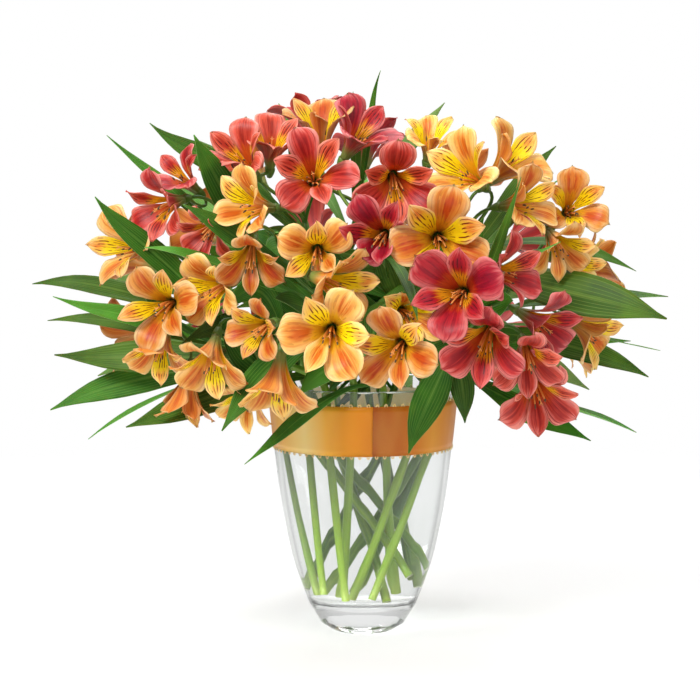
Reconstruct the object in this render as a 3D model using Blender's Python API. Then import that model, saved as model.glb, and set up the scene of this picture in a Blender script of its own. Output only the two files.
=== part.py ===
"""A bouquet of orange and coral-red alstroemeria in a panelled glass vase with a satin ribbon.

The origin is the centre of the vase's underside, with +Z up and the front of the bouquet towards -Y.
Places and sizes in the tables are in millimetres, and MM turns them into metres."""

import itertools
import math

import bmesh
import bpy
from mathutils import Vector
from mathutils.bvhtree import BVHTree

MM = 0.001
GAP = 0.3

# The vase, as radius and height of its outer corners; its inside is one wall thickness smaller
PANELS = 16
VASE_OUTSIDE = ((24.5, 0), (33.5, 6), (42.5, 21), (54, 53), (61.5, 85), (66.5, 116), (74.5, 193))
VASE_WALL = 4.0
VASE_FLOOR = 24.0
FLOOR_RADIUS = 34.0
WATER_LEVEL = 161.0

RIBBON_LOW = 144.0
RIBBON_WIDTH = 38.0
RIBBON_THICK = 0.8
RIBBON_LAP_FROM = 15
RIBBON_LAP_TO = 17

STEM_RADIUS = 3.3
STEM_SIDES = 6
MOUTH_HEIGHT = 190.0
STALK_RADIUS = 1.3
STALK_SIDES = 3
STALK_STEPS = 3
STALK_STEP = 0.012
STALK_GAP = 0.9
SIDE_STALK_RADIUS = 1.1

# A bloom: its length from stalk to mouth, its ovary, and the stations of its tepals as
# (share of the length, half width, cupping)
BLOOM_DEPTH = 42.0
OVARY_BASE = 1.8
OVARY_TOP = 3.6
OVARY_LENGTH = 9.0
OUTER_LENGTH = 50.0
OUTER_STATIONS = ((0.34, 3.5, 0.3), (0.66, 11.5, 0.22), (0.88, 10.0, 0.08))
OUTER_LEAN = (14, 74, 1.6)
INNER_LENGTH = 50.0
INNER_STATIONS = ((0.45, 2.9, 0.3), (0.8, 7.4, 0.25))
INNER_LEAN = (9, 54, 1.5)
TEPAL_FACE = 0.45
TEPAL_BACK = 0.75
CLEARANCE = 0.35

# Ways for a tepal to give way to its neighbours, best first: its length, its opening and its swing
MIDRIB_STEPS = 12
TEPAL_BENDS = tuple(itertools.product(
    (1.0, 0.87, 0.74, 0.6, 0.46, 0.36), (1.0, 0.8, 1.25, 0.6, 1.5, 0.4, 0.2), (0, 9, -9, 18, -18)
))

# A leaf's blade, and the ways for it to give way: its width, its reach, its bow sideways, its lift
# and its turn about its midrib
LEAF_STATIONS = ((0.34, 0.6, 0.12), (0.66, 1.0, 0.14), (0.88, 0.62, 0.1))
NARROW_STATIONS = ((0.4, 0.9, 0.12), (0.76, 0.9, 0.12))
NARROW_WIDTH = 12
LEAF_FACE = 0.4
LEAF_BACK = 0.5
LEAF_ROOT = 1.6
LEAF_BENDS = tuple(itertools.product(
    (1.0, 0.8, 0.6, 0.4),
    (1.0, 0.86),
    (0, 14, -14, 28, -28, 42, -42),
    (0, 14, -14, 28, -28),
    (0, 30, -30, 60, -60, 90),
))

# Ways for a stalk to give way: its bow sideways and upwards
STALK_BOWS = sorted(
    itertools.product((0, 7, -7, 14, -14, 21, -21), repeat=2), key=lambda bow: abs(bow[0]) + abs(bow[1])
)

ORANGE = (0.87, 0.42, 0.14)
CORAL = (0.72, 0.08, 0.06)
GREEN = (0.10, 0.27, 0.05)
RIBBON_ORANGE = (0.83, 0.40, 0.05)

# Each leafy stem: its cut foot, its place in the vase's mouth, and where its flower stalks start. In
# the water the stems lean past each other
STEMS = {
    "stem_far_left": ((-29, -8, 31), (-60, -12), (-96, -48, 232)),
    "stem_left_red": ((-27, -21, 33), (-41, -38), (-84, -38, 292)),
    "stem_left_top": ((31, -18, 47), (-55, 10), (-44, -38, 318)),
    "stem_low_left": ((-12, -28, 29), (-28, -51), (-66, -84, 226)),
    "stem_left_inner": ((-12, 6, 30), (-7, -56), (-36, -82, 272)),
    "stem_centre": ((16, 23, 32), (15, -55), (0, -96, 232)),
    "stem_centre_red": ((-7, -13, 29), (44, -36), (14, -62, 300)),
    "stem_right_red": ((6, -27, 30), (59, -20), (72, -74, 236)),
    "stem_right_top": ((-20, 22, 31), (55, 14), (74, -42, 300)),
    "stem_right": ((-4, 26, 32), (48, 30), (104, -22, 256)),
    "stem_back_right": ((-31, 14, 34), (28, 50), (66, 58, 262)),
    "stem_back": ((26, 25, 36), (2, 58), (6, 78, 272)),
    "stem_back_left": ((16, -22, 27), (-25, 51), (-78, 50, 258)),
    "stem_top": ((42, -2, 50), (-46, 26), (-4, 14, 326)),
}

# Each bloom: its colour, its stem, the centre of its mouth, then the way it faces as a turn from the
# front towards the right, a tilt upwards and a roll, and its size and how far it has opened
BLOOMS = {
    "bloom_o_01": (ORANGE, "stem_far_left", (-178, -90, 303), (-48, 8, 35), (1.0, 1.0)),
    "bloom_o_02": (ORANGE, "stem_far_left", (-146, -138, 262), (-15, 0, 45), (1.0, 1.0)),
    "bloom_o_03": (ORANGE, "stem_far_left", (-149, -123, 226), (-20, -42, 0), (0.8, 1.0)),
    "bloom_o_04": (ORANGE, "stem_low_left", (-111, -138, 273), (-35, -8, 20), (0.85, 1.0)),
    "bloom_o_05": (ORANGE, "stem_low_left", (-111, -142, 218), (-15, -46, 10), (0.9, 1.0)),
    "bloom_o_06": (ORANGE, "stem_low_left", (-75, -173, 248), (-30, -8, -20), (0.7, 1.0)),
    "bloom_o_07": (ORANGE, "stem_left_inner", (-85, -137, 333), (-45, 5, 0), (0.88, 1.0)),
    "bloom_o_08": (ORANGE, "stem_left_inner", (-80, -160, 294), (-5, -35, 0), (0.8, 1.0)),
    "bloom_o_09": (ORANGE, "stem_left_inner", (-33, -167, 299), (0, -8, 60), (0.9, 1.0)),
    "bloom_o_10": (ORANGE, "stem_centre", (-15, -178, 279), (48, -10, -20), (0.95, 1.0)),
    "bloom_o_11": (ORANGE, "stem_centre", (-25, -198, 247), (-4, -2, -30), (1.06, 1.0)),
    "bloom_o_12": (ORANGE, "stem_centre", (-63, -150, 200), (-20, -68, 0), (0.95, 0.9)),
    "bloom_o_13": (ORANGE, "stem_centre", (20, -191, 235), (-14, -6, 15), (0.95, 1.0)),
    "bloom_o_14": (ORANGE, "stem_top", (-32, -50, 396), (-4, 74, 0), (0.95, 0.9)),
    "bloom_o_15": (ORANGE, "stem_right_top", (70, -102, 358), (-35, 22, 10), (1.0, 1.0)),
    "bloom_o_16": (ORANGE, "stem_right_top", (116, -52, 367), (58, 36, 0), (1.05, 0.95)),
    "bloom_o_17": (ORANGE, "stem_right_top", (52, -172, 312), (0, 2, -15), (1.1, 1.05)),
    "bloom_o_18": (ORANGE, "stem_right_top", (122, -86, 334), (50, 8, 0), (0.85, 1.0)),
    "bloom_o_19": (ORANGE, "stem_right", (156, -59, 331), (8, 16, 0), (0.85, 1.0)),
    "bloom_o_20": (ORANGE, "stem_right", (159, -48, 281), (46, -24, 0), (0.8, 1.0)),
    "bloom_o_21": (ORANGE, "stem_top", (50, -62, 382), (14, 60, 0), (0.7, 1.0)),
    "bloom_r_01": (CORAL, "stem_left_red", (-150, -94, 331), (-40, -10, 0), (0.85, 1.0)),
    "bloom_r_02": (CORAL, "stem_left_red", (-113, -121, 313), (-28, -24, 0), (0.66, 1.0)),
    "bloom_r_03": (CORAL, "stem_left_top", (-92, -94, 369), (-30, 32, 0), (0.88, 1.0)),
    "bloom_r_04": (CORAL, "stem_left_top", (-36, -131, 357), (0, 16, 20), (1.0, 1.05)),
    "bloom_r_05": (CORAL, "stem_centre_red", (0, -72, 388), (42, 46, 0), (0.95, 0.9)),
    "bloom_r_06": (CORAL, "stem_centre_red", (23, -140, 347), (5, -14, 0), (1.0, 1.0)),
    "bloom_r_07": (CORAL, "stem_centre_red", (10, -171, 313), (-10, 0, 30), (0.95, 1.0)),
    "bloom_r_08": (CORAL, "stem_right_red", (62, -184, 276), (-14, 6, 50), (1.08, 1.0)),
    "bloom_r_09": (CORAL, "stem_right_red", (105, -137, 286), (42, 6, 0), (0.85, 1.0)),
    "bloom_r_10": (CORAL, "stem_right_red", (81, -171, 236), (-18, -22, 0), (1.02, 1.0)),
    "bloom_r_11": (CORAL, "stem_right_red", (133, -114, 244), (48, -22, 0), (0.9, 1.0)),
    "bloom_r_12": (CORAL, "stem_right_red", (117, -140, 221), (6, -30, 0), (0.85, 1.0)),
    "bloom_b_01": (ORANGE, "stem_back_right", (172, 32, 222), (104, -8, 0), (1.0, 1.0)),
    "bloom_b_02": (CORAL, "stem_back_right", (112, 116, 218), (140, -10, 0), (1.0, 1.0)),
    "bloom_b_03": (ORANGE, "stem_back", (4, 156, 214), (178, -12, 0), (1.05, 1.0)),
    "bloom_b_04": (CORAL, "stem_back_left", (-116, 112, 220), (216, -10, 0), (1.0, 1.0)),
    "bloom_b_05": (ORANGE, "stem_back_left", (-190, 22, 226), (262, -8, 0), (0.95, 1.0)),
    "bloom_b_06": (CORAL, "stem_back_right", (136, 74, 304), (124, 16, 0), (1.0, 1.0)),
    "bloom_b_07": (ORANGE, "stem_back", (52, 134, 312), (156, 16, 0), (1.05, 1.0)),
    "bloom_b_08": (CORAL, "stem_back", (-44, 138, 306), (194, 16, 0), (1.0, 1.0)),
    "bloom_b_09": (ORANGE, "stem_back_left", (-132, 92, 308), (232, 16, 0), (1.0, 1.0)),
    "bloom_b_10": (CORAL, "stem_top", (4, 76, 382), (172, 52, 0), (1.0, 1.0)),
}

# A second bloom on a stalk that branches from under the first one, as (mouth, facing, size)
SIDE_BLOOMS = {
    "bloom_o_03": ((-130, -110, 189), (-24, -72, 0), (0.8, 0.5)),
    "bloom_o_05": ((-88, -113, 188), (-30, -46, 0), (0.75, 0.9)),
    "bloom_o_13": ((32, -156, 258), (14, 0, 0), (0.85, 1.0)),
    "bloom_o_19": ((145, -86, 299), (26, -34, 0), (0.78, 1.0)),
    "bloom_o_20": ((175, -56, 234), (66, -26, 0), (0.85, 1.0)),
    "bloom_r_01": ((-136, -70, 354), (-44, 34, 0), (0.72, 1.0)),
    "bloom_r_03": ((-67, -79, 380), (8, 54, 0), (0.82, 1.0)),
    "bloom_r_12": ((128, -112, 192), (12, -34, 0), (0.98, 1.0)),
    "bloom_b_01": ((186, 16, 286), (96, 18, 0), (0.95, 1.0)),
    "bloom_b_04": ((-66, 148, 250), (206, 0, 0), (0.95, 1.0)),
    "bloom_b_05": ((-186, 10, 290), (268, 18, 0), (0.95, 1.0)),
    "bloom_b_07": ((84, 92, 356), (142, 44, 0), (0.95, 1.0)),
    "bloom_b_09": ((-92, 78, 364), (218, 44, 0), (0.95, 1.0)),
    "bloom_b_10": ((-42, 18, 402), (220, 76, 0), (0.95, 1.0)),
}

# Each leaf: its stem, the share of the stem at which it grows, its tip, its width and its lift. The
# first ones lie in front, and the petals give way to them; the others give way to the petals
FRONT_LEAVES = (
    ("stem_far_left", 0.98, (-195, -114, 339), 20, 6),
    ("stem_left_red", 0.95, (-118, -128, 384), 23, 0),
    ("stem_left_inner", 0.97, (-127, -152, 333), 18, 6),
    ("stem_left_inner", 0.94, (-152, -152, 308), 17, 4),
    ("stem_far_left", 0.96, (-181, -150, 289), 13, 4),
    ("stem_low_left", 0.8, (-170, -112, 166), 26, 20),
    ("stem_left_inner", 0.84, (-104, -150, 178), 24, 24),
    ("stem_left_inner", 0.99, (-62, -170, 322), 17, 2),
    ("stem_centre_red", 0.9, (-7, -192, 300), 9, 26),
    ("stem_right_red", 0.9, (36, -118, 152), 25, 24),
    ("stem_centre_red", 0.97, (39, -186, 252), 9, 24),
    ("stem_right_top", 0.95, (214, -118, 250), 36, 4),
    ("stem_right_red", 0.98, (113, -134, 348), 8, 0),
    ("stem_right_top", 0.94, (134, -134, 310), 10, 36),
)
LEAVES = (
    ("stem_left_top", 0.97, (-161, -40, 389), 18, 14),
    ("stem_left_red", 0.97, (-195, -40, 378), 10, 12),
    ("stem_far_left", 0.93, (-249, -40, 280), 17, 22),
    ("stem_far_left", 0.9, (-232, -60, 257), 14, 14),
    ("stem_far_left", 0.86, (-241, -24, 243), 14, 20),
    ("stem_low_left", 0.88, (-229, -54, 211), 26, 16),
    ("stem_far_left", 0.8, (-234, -60, 178), 24, 22),
    ("stem_low_left", 0.84, (-205, -76, 159), 22, 20),
    ("stem_centre", 0.78, (-81, -112, 140), 14, 34),
    ("stem_right_red", 0.82, (78, -104, 172), 19, 24),
    ("stem_right_red", 0.86, (206, -56, 164), 38, -8),
    ("stem_right_red", 0.8, (170, -64, 156), 28, -4),
    ("stem_right_top", 0.97, (209, -20, 282), 15, 16),
    ("stem_right", 0.94, (235, 0, 258), 20, 18),
    ("stem_right", 0.86, (215, -40, 199), 22, 22),
    ("stem_right", 0.9, (228, -6, 215), 12, 16),
    ("stem_right", 0.82, (212, 22, 223), 10, 12),
    ("stem_top", 0.99, (12, -18, 434), 6, 4),
    ("stem_top", 0.97, (-5, -26, 414), 8, 2),
    ("stem_left_top", 0.99, (-57, -58, 398), 8, 2),
    ("stem_centre", 0.86, (-50, -96, 196), 20, 22),
    ("stem_centre_red", 0.84, (4, -104, 202), 18, 30),
    ("stem_right_red", 0.95, (84, -112, 328), 16, 4),
    ("stem_left_top", 0.9, (-74, -70, 300), 22, 8),
    ("stem_top", 0.9, (20, -60, 330), 20, 10),
    ("stem_low_left", 0.92, (-96, -150, 262), 20, 8),
    ("stem_left_inner", 0.9, (-62, -150, 264), 20, 8),
    ("stem_low_left", 0.86, (-128, -112, 232), 22, 10),
    ("stem_low_left", 0.9, (-104, -104, 252), 24, 10),
    ("stem_left_inner", 0.8, (-40, -124, 226), 22, 14),
    ("stem_centre", 0.92, (10, -136, 260), 20, 8),
    ("stem_centre_red", 0.8, (40, -118, 262), 22, 12),
    ("stem_right_red", 0.92, (112, -96, 262), 22, 10),
    ("stem_right", 0.8, (140, -60, 228), 24, 14),
    ("stem_left_red", 0.85, (-118, -60, 300), 22, 10),
    ("stem_back_right", 0.84, (186, 96, 176), 24, 24),
    ("stem_back_right", 0.92, (206, 82, 262), 24, 20),
    ("stem_back_right", 0.98, (160, 98, 352), 18, 12),
    ("stem_back_right", 0.88, (98, 156, 180), 22, 24),
    ("stem_back", 0.8, (44, 168, 160), 24, 26),
    ("stem_back", 0.84, (-36, 176, 176), 22, 24),
    ("stem_back", 0.92, (58, 184, 258), 22, 16),
    ("stem_back", 0.96, (4, 178, 350), 18, 10),
    ("stem_back", 0.88, (-16, 190, 262), 20, 14),
    ("stem_back_left", 0.82, (-146, 118, 164), 26, 24),
    ("stem_back_left", 0.86, (-214, 74, 190), 24, 22),
    ("stem_back_left", 0.93, (-212, 78, 268), 22, 18),
    ("stem_back_left", 0.98, (-168, 92, 356), 18, 12),
    ("stem_back_left", 0.9, (-92, 166, 200), 20, 16),
    ("stem_top", 0.95, (62, 46, 410), 14, 8),
    ("stem_top", 0.93, (-66, 62, 404), 16, 8),
    ("stem_right_top", 0.9, (150, 24, 372), 16, 14),
    ("stem_left_top", 0.94, (-132, 26, 380), 17, 12),
)


def polar(radius, degrees, height):
    angle = math.radians(degrees)
    return Vector((radius * math.cos(angle), radius * math.sin(angle), height))


def closed_mesh(name, points, faces):
    """A mesh of these points in millimetres, with its faces turned outwards."""
    mesh = bpy.data.meshes.new(name)
    mesh.from_pydata([Vector(point) * MM for point in points], [], faces)
    shape = bmesh.new()
    shape.from_mesh(mesh)
    bmesh.ops.triangulate(shape, faces=shape.faces)
    bmesh.ops.recalc_face_normals(shape, faces=shape.faces)
    shape.to_mesh(mesh)
    shape.free()
    return mesh


def add_object(name, points, faces):
    piece = bpy.data.objects.new(name, closed_mesh(name, points, faces))
    bpy.context.scene.collection.objects.link(piece)
    return piece


def finish(piece, colour, roughness, transmission=0.0):
    """Gives a piece its own material."""
    material = bpy.data.materials.new(piece.name + "_finish")
    material.use_nodes = True
    shader = material.node_tree.nodes["Principled BSDF"]
    shader.inputs["Base Color"].default_value = (*colour, 1)
    shader.inputs["Roughness"].default_value = roughness
    shader.inputs["Transmission Weight"].default_value = transmission
    material.diffuse_color = (*colour, 1)
    piece.data.materials.clear()
    piece.data.materials.append(material)


def fuse(name, shapes):
    """Joins closed shapes, each a list of points and faces, into one object."""
    first, *others = [add_object(name, *shape) for shape in shapes]
    if others:
        group = bpy.data.collections.new(name + "_joined")
        for other in others:
            group.objects.link(other)
        join = first.modifiers.new("Join", "BOOLEAN")
        join.operation = "UNION"
        join.operand_type = "COLLECTION"
        join.collection = group
        join.solver = "EXACT"
        bpy.context.view_layer.objects.active = first
        bpy.ops.object.modifier_apply(modifier=join.name)
        for other in others:
            bpy.data.objects.remove(other)
        bpy.data.collections.remove(group)
    first.name = name
    return first


def band(low, high):
    """Triangles between two rings of point numbers, split from the even low points to the odd high ones."""
    faces = []
    for i in range(len(low)):
        after = (i + 1) % len(low)
        if i % 2:
            faces += [(low[i], low[after], high[i]), (low[after], high[after], high[i])]
        else:
            faces += [(low[i], low[after], high[after]), (low[i], high[after], high[i])]
    return faces


def ring_faces(low, high, count):
    return band(range(low, low + count), range(high, high + count))


def lathe(profile, sides, closed=False):
    """Points and faces of a profile of (radius, height) turned in flat panels about the axis."""
    points = [polar(radius, 360 * i / sides, height) for radius, height in profile for i in range(sides)]
    faces = []
    for step in range(len(profile) - 1):
        faces += ring_faces(step * sides, (step + 1) * sides, sides)
    if closed:
        faces += ring_faces((len(profile) - 1) * sides, 0, sides)
    else:
        faces.append(tuple(range(sides)))
        faces.append(tuple(range((len(profile) - 1) * sides, len(profile) * sides)))
    return points, faces


def outer_radius(height):
    """The vase's outer radius at a height."""
    for (low_radius, low), (high_radius, high) in itertools.pairwise(VASE_OUTSIDE):
        if low <= height <= high:
            return low_radius + (high_radius - low_radius) * (height - low) / (high - low)
    return VASE_OUTSIDE[-1][0]


def inner_profile(shrink, top):
    """The inside of the vase from its floor up to a height, made smaller all round."""
    floor = VASE_FLOOR + shrink
    profile = [(FLOOR_RADIUS - shrink, floor), (outer_radius(floor + 7) - VASE_WALL - 1.5 - shrink, floor + 7)]
    for radius, height in VASE_OUTSIDE[3:]:
        if height < top:
            profile.append((radius - VASE_WALL - shrink, height))
    profile.append((outer_radius(top) - VASE_WALL - shrink, top))
    return profile


def vase_shape():
    inside = inner_profile(0, VASE_OUTSIDE[-1][1])
    return lathe(list(VASE_OUTSIDE) + inside[::-1], PANELS)


def ribbon_shape():
    """One turn of ribbon round the vase, thicker where its end laps over its start."""
    heights = (RIBBON_LOW, RIBBON_LOW + RIBBON_WIDTH)
    inner, outer = [], []
    for height in heights:
        for i in range(PANELS):
            lap = RIBBON_THICK if RIBBON_LAP_FROM <= i + 4 <= RIBBON_LAP_TO else 0
            start = outer_radius(height) + GAP + 0.1
            inner.append(polar(start, 360 * i / PANELS, height))
            outer.append(polar(start + RIBBON_THICK + lap, 360 * i / PANELS, height))
    shift = len(inner)
    faces = ring_faces(0, PANELS, PANELS) + ring_faces(shift, shift + PANELS, PANELS)
    faces += ring_faces(0, shift, PANELS) + ring_faces(PANELS, shift + PANELS, PANELS)
    return inner + outer, faces


def tube(path, radii, sides):
    """A round stalk along a path, capped at both ends."""
    points, faces = [], []
    side = None
    for i, place in enumerate(path):
        ahead = path[min(i + 1, len(path) - 1)] - path[max(i - 1, 0)]
        ahead.normalize()
        if side is None:
            side = ahead.cross(Vector((0.3, 1, 0.2))).normalized()
        side = (side - ahead * side.dot(ahead)).normalized()
        across = ahead.cross(side)
        for k in range(sides):
            angle = 2 * math.pi * k / sides
            points.append(place + (side * math.cos(angle) + across * math.sin(angle)) * radii[i])
    for step in range(len(path) - 1):
        faces += ring_faces(step * sides, (step + 1) * sides, sides)
    faces.append(tuple(range(sides)))
    faces.append(tuple(range((len(path) - 1) * sides, len(path) * sides)))
    return points, faces


def bezier(start, first, second, end, share):
    rest = 1 - share
    return start * rest**3 + first * 3 * rest**2 * share + second * 3 * rest * share**2 + end * share**3


def stem_path(foot, mouth, node):
    """From the cut foot straight to the vase's mouth, then in a curve to where the stalks start."""
    foot, mouth, node = Vector(foot), Vector((*mouth, MOUTH_HEIGHT)), Vector(node)
    along = (mouth - foot).normalized()
    reach = (node - mouth).length
    outward = Vector((node.x, node.y, 0)).normalized()
    before = node - (outward * 0.45 + Vector((0, 0, 0.9))).normalized() * reach * 0.35
    curve = [bezier(mouth, mouth + along * reach * 0.35, before, node, i / 3) for i in range(1, 4)]
    return [foot, mouth, *curve]


def along_path(path, share):
    """The place at this share of a path's length, and the way it runs there."""
    lengths = [(after - before).length for before, after in itertools.pairwise(path)]
    left = share * sum(lengths)
    for (before, after), length in zip(itertools.pairwise(path), lengths):
        if left <= length:
            return before.lerp(after, left / length), (after - before).normalized()
        left -= length
    return path[-1], (path[-1] - path[-2]).normalized()


class Bloom:
    """A bloom's place, and the directions out of its mouth, to the right and up as seen from its front."""

    def __init__(self, mouth, angles, form):
        turn, tilt = math.radians(angles[0]), math.radians(angles[1])
        self.roll = angles[2]
        self.size, self.opening = form
        self.out = Vector((math.sin(turn) * math.cos(tilt), -math.cos(turn) * math.cos(tilt), math.sin(tilt)))
        self.right = Vector((math.cos(turn), math.sin(turn), 0))
        self.up = self.out.cross(self.right)
        self.mouth = Vector(mouth)
        self.base = self.mouth - self.out * BLOOM_DEPTH * self.size

    def radial(self, degrees):
        angle = math.radians(degrees + self.roll)
        return self.right * math.cos(angle) + self.up * math.sin(angle)

    def point(self, radius, degrees, depth):
        return self.base + self.radial(degrees) * radius + self.out * depth

    def midrib(self, length, lean, opening, share):
        """Radius, depth and lean of a tepal's midrib at a share of its length."""
        start, end, power = lean
        spread = (end - start) * opening * self.opening
        radius, depth = OVARY_TOP - 0.4, OVARY_LENGTH
        for i in range(MIDRIB_STEPS):
            angle = math.radians(start + spread * (share * (i + 0.5) / MIDRIB_STEPS) ** power)
            radius += math.sin(angle) * length * share / MIDRIB_STEPS
            depth += math.cos(angle) * length * share / MIDRIB_STEPS
        return radius, depth, math.radians(start + spread * share**power)

    def tepal(self, number, bend, grow=0.0):
        """Rings of left edge, face, right edge and back along a tepal, and its tip."""
        size, opening, swing = bend
        outer = number % 2 == 1
        length = (OUTER_LENGTH if outer else INNER_LENGTH) * size * self.size
        lean = OUTER_LEAN if outer else INNER_LEAN
        degrees = 30 + 60 * number
        rings = []
        for share, half_width, cup in OUTER_STATIONS if outer else INNER_STATIONS:
            radius, depth, angle = self.midrib(length, lean, opening, share)
            outward = self.radial(degrees + swing * share)
            side = self.out.cross(outward)
            face = self.out * math.sin(angle) - outward * math.cos(angle)
            place = self.base + outward * radius + self.out * depth
            width = half_width * size**0.5 * self.size
            lift = face * cup * width
            rings.append((
                place - side * (width + grow) + lift,
                place + face * (TEPAL_FACE + grow),
                place + side * (width + grow) + lift,
                place - face * (TEPAL_BACK + grow),
            ))
        radius, depth, angle = self.midrib(length + grow, lean, opening, 1.0)
        return rings, self.point(radius, degrees + swing, depth)

    def shape(self, bends):
        """The whole bloom as one closed surface: an ovary whose top edge runs out into six tepals."""
        stalk = [self.point(OVARY_BASE, 30 + 60 * k, 0) for k in range(6)]
        between = [self.point(OVARY_TOP, 60 + 60 * k, OVARY_LENGTH) for k in range(6)]
        above = [self.point(OVARY_TOP - 1.2, 30 + 60 * k, OVARY_LENGTH + 0.5) for k in range(6)]
        below = [self.point(OVARY_TOP, 30 + 60 * k, OVARY_LENGTH - 0.7) for k in range(6)]
        points = stalk + between + above + below
        faces = [(0, 1, 2, 3, 4, 5)]
        for k in range(6):
            after = (k + 1) % 6
            faces.append((k, after, 18 + after, 6 + k, 18 + k))
        faces.append(tuple(corner for k in range(6) for corner in (12 + k, 6 + k)))
        for k in range(6):
            rings, tip = self.tepal(k, bends[k])
            ring = (6 + (k - 1) % 6, 12 + k, 6 + k, 18 + k)
            for corners in rings:
                start = len(points)
                points += corners
                faces += band(ring, range(start, start + 4))
                ring = range(start, start + 4)
            points.append(tip)
            faces += [(ring[i], ring[(i + 1) % 4], len(points) - 1) for i in range(4)]
        return points, faces

    def core(self):
        """The ovary and the narrow start of a bloom, which never gives way."""
        length = OUTER_LENGTH * self.size
        depths = (0, OVARY_LENGTH, OVARY_LENGTH + 0.32 * length, OVARY_LENGTH + 0.44 * length)
        path = [self.base + self.out * depth for depth in depths]
        return tube(path, (OVARY_BASE + 0.4, OVARY_TOP + 0.6, 9.0 * self.size, 11.8 * self.size), 6)


def blade_shape(rings, tip):
    """A closed blade from its first ring of four corners to its tip."""
    points = [point for ring in rings for point in ring] + [tip]
    faces = [(0, 1, 2, 3)]
    for step in range(len(rings) - 1):
        faces += ring_faces(4 * step, 4 * step + 4, 4)
    last = 4 * (len(rings) - 1)
    faces += [(last + i, last + (i + 1) % 4, len(points) - 1) for i in range(4)]
    return points, faces


def stalk_path(start, along, base, out, bow):
    """A stalk that leaves its stem along it and comes into its bloom from behind."""
    reach = (base - start).length
    across = along.cross(out)
    if across.length < 0.05:
        across = along.orthogonal()
    across.normalize()
    lift = across.cross((base - start).normalized())
    aside = across * bow[0] + lift * bow[1]
    first = start + along * reach * 0.3 + aside
    second = base - out * reach * 0.4 + aside
    return [bezier(start, first, second, base, i / STALK_STEPS) for i in range(STALK_STEPS)] + [base]


def leaf_points(path, leaf, bend, grow=0.0):
    """Rings and tip of a leaf's blade, which grows from its stem, bows and ends in a point."""
    _, share, tip, width, lift = leaf
    narrow, reach, bow, rise, turn = bend
    root, along = along_path(path, share)
    tip = root.lerp(Vector(tip), reach)
    span = tip - root
    shown = Vector((0, -0.9 if tip.y < 40 else 0.9, 0.45)).normalized()
    across = span.cross(shown).normalized()
    middle = root.lerp(tip, 0.45) + Vector((0, 0, lift + rise)) + across * bow
    rings = []
    stations = NARROW_STATIONS if width <= NARROW_WIDTH else LEAF_STATIONS
    for place_share, breadth, cup in ((0.0, 0.0, 0.0), *stations):
        rest = 1 - place_share
        place = root * rest**2 + middle * 2 * rest * place_share + tip * place_share**2
        ahead = ((middle - root) * rest + (tip - middle) * place_share).normalized()
        side = ahead.cross(shown).normalized()
        face = side.cross(ahead)
        angle = math.radians(turn)
        side, face = (
            side * math.cos(angle) + face * math.sin(angle),
            face * math.cos(angle) - side * math.sin(angle),
        )
        half = max(width * narrow * breadth / 2, LEAF_ROOT)
        raise_edge = face * cup * half
        rings.append((
            place - side * (half + grow) + raise_edge,
            place + face * (LEAF_FACE + grow),
            place + side * (half + grow) + raise_edge,
            place - face * (LEAF_BACK + grow),
        ))
    return rings, tip + (tip - middle).normalized() * grow


class Crowd:
    """Everything that is in place, asked whether a new shape would touch any of it."""

    def __init__(self):
        self.items = []

    def add(self, owner, points, faces):
        self.items.append((owner, *self.bounds(points), BVHTree.FromPolygons(points, faces)))

    @staticmethod
    def bounds(points):
        low = [min(point[axis] for point in points) for axis in range(3)]
        high = [max(point[axis] for point in points) for axis in range(3)]
        return low, high

    def touches(self, points, faces, own=()):
        low, high = self.bounds(points)
        tree = None
        for owner, other_low, other_high, other in self.items:
            if owner in own:
                continue
            if any(low[axis] > other_high[axis] or high[axis] < other_low[axis] for axis in range(3)):
                continue
            if tree is None:
                tree = BVHTree.FromPolygons(points, faces)
            if tree.overlap(other):
                return True
        return False


def first_clear(ways, shape_of, crowd, own):
    """The first way of laying a shape that touches nothing, or else the last one."""
    for way in ways:
        if not crowd.touches(*shape_of(way), own):
            return way
    print("no clear way for", own)
    return way


def all_blooms():
    """Every bloom by name, the main ones and those at their side."""
    blooms = {name: Bloom(*row[2:]) for name, row in BLOOMS.items()}
    blooms.update({name + "_side": Bloom(*row) for name, row in SIDE_BLOOMS.items()})
    return blooms


def place_stems(crowd):
    """The path of each stem, and the shapes that will be fused into its node."""
    paths, parts = {}, {}
    for name, places in STEMS.items():
        path = stem_path(*places)
        paths[name] = path
        parts[name] = [tube(path, [STEM_RADIUS] * (len(path) - 1) + [STEM_RADIUS * 0.85], STEM_SIDES)]
        shape = tube(path, [STEM_RADIUS + CLEARANCE] * len(path), STEM_SIDES)
        if crowd.touches(*shape):
            print(name, "crosses another stem")
        crowd.add(name, *shape)
    return paths, parts


def place_stalks(crowd, blooms, paths, parts):
    """A stalk from its stem to each main bloom, and from under that to the bloom at its side."""
    side_stalks = {}
    taken = dict.fromkeys(STEMS, 0)
    for name, bloom in blooms.items():
        main = name.removesuffix("_side")
        stem = BLOOMS[main][1]
        if name == main:
            start, along = along_path(paths[stem], 0.985 - STALK_STEP * taken[stem])
            taken[stem] += 1
            owner, radius, overlap = stem, STALK_RADIUS, -STALK_GAP
        else:
            start = blooms[main].base + blooms[main].out * 3
            along = ((bloom.base - start).normalized() - blooms[main].out * 0.5).normalized()
            owner, radius, overlap = main, SIDE_STALK_RADIUS, 2

        def stalk(bow, extra=CLEARANCE, overlap=0.0):
            path = stalk_path(start, along, bloom.base + bloom.out * overlap, bloom.out, bow)
            return tube(path, [radius + extra] * len(path), STALK_SIDES)

        bow = first_clear(STALK_BOWS, stalk, crowd, (owner, name))
        crowd.add(owner, *stalk(bow))
        if name == main:
            parts[stem].append(stalk(bow, 0.0, overlap))
        else:
            side_stalks[main] = stalk(bow, 0.0, overlap)
    return side_stalks


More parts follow.
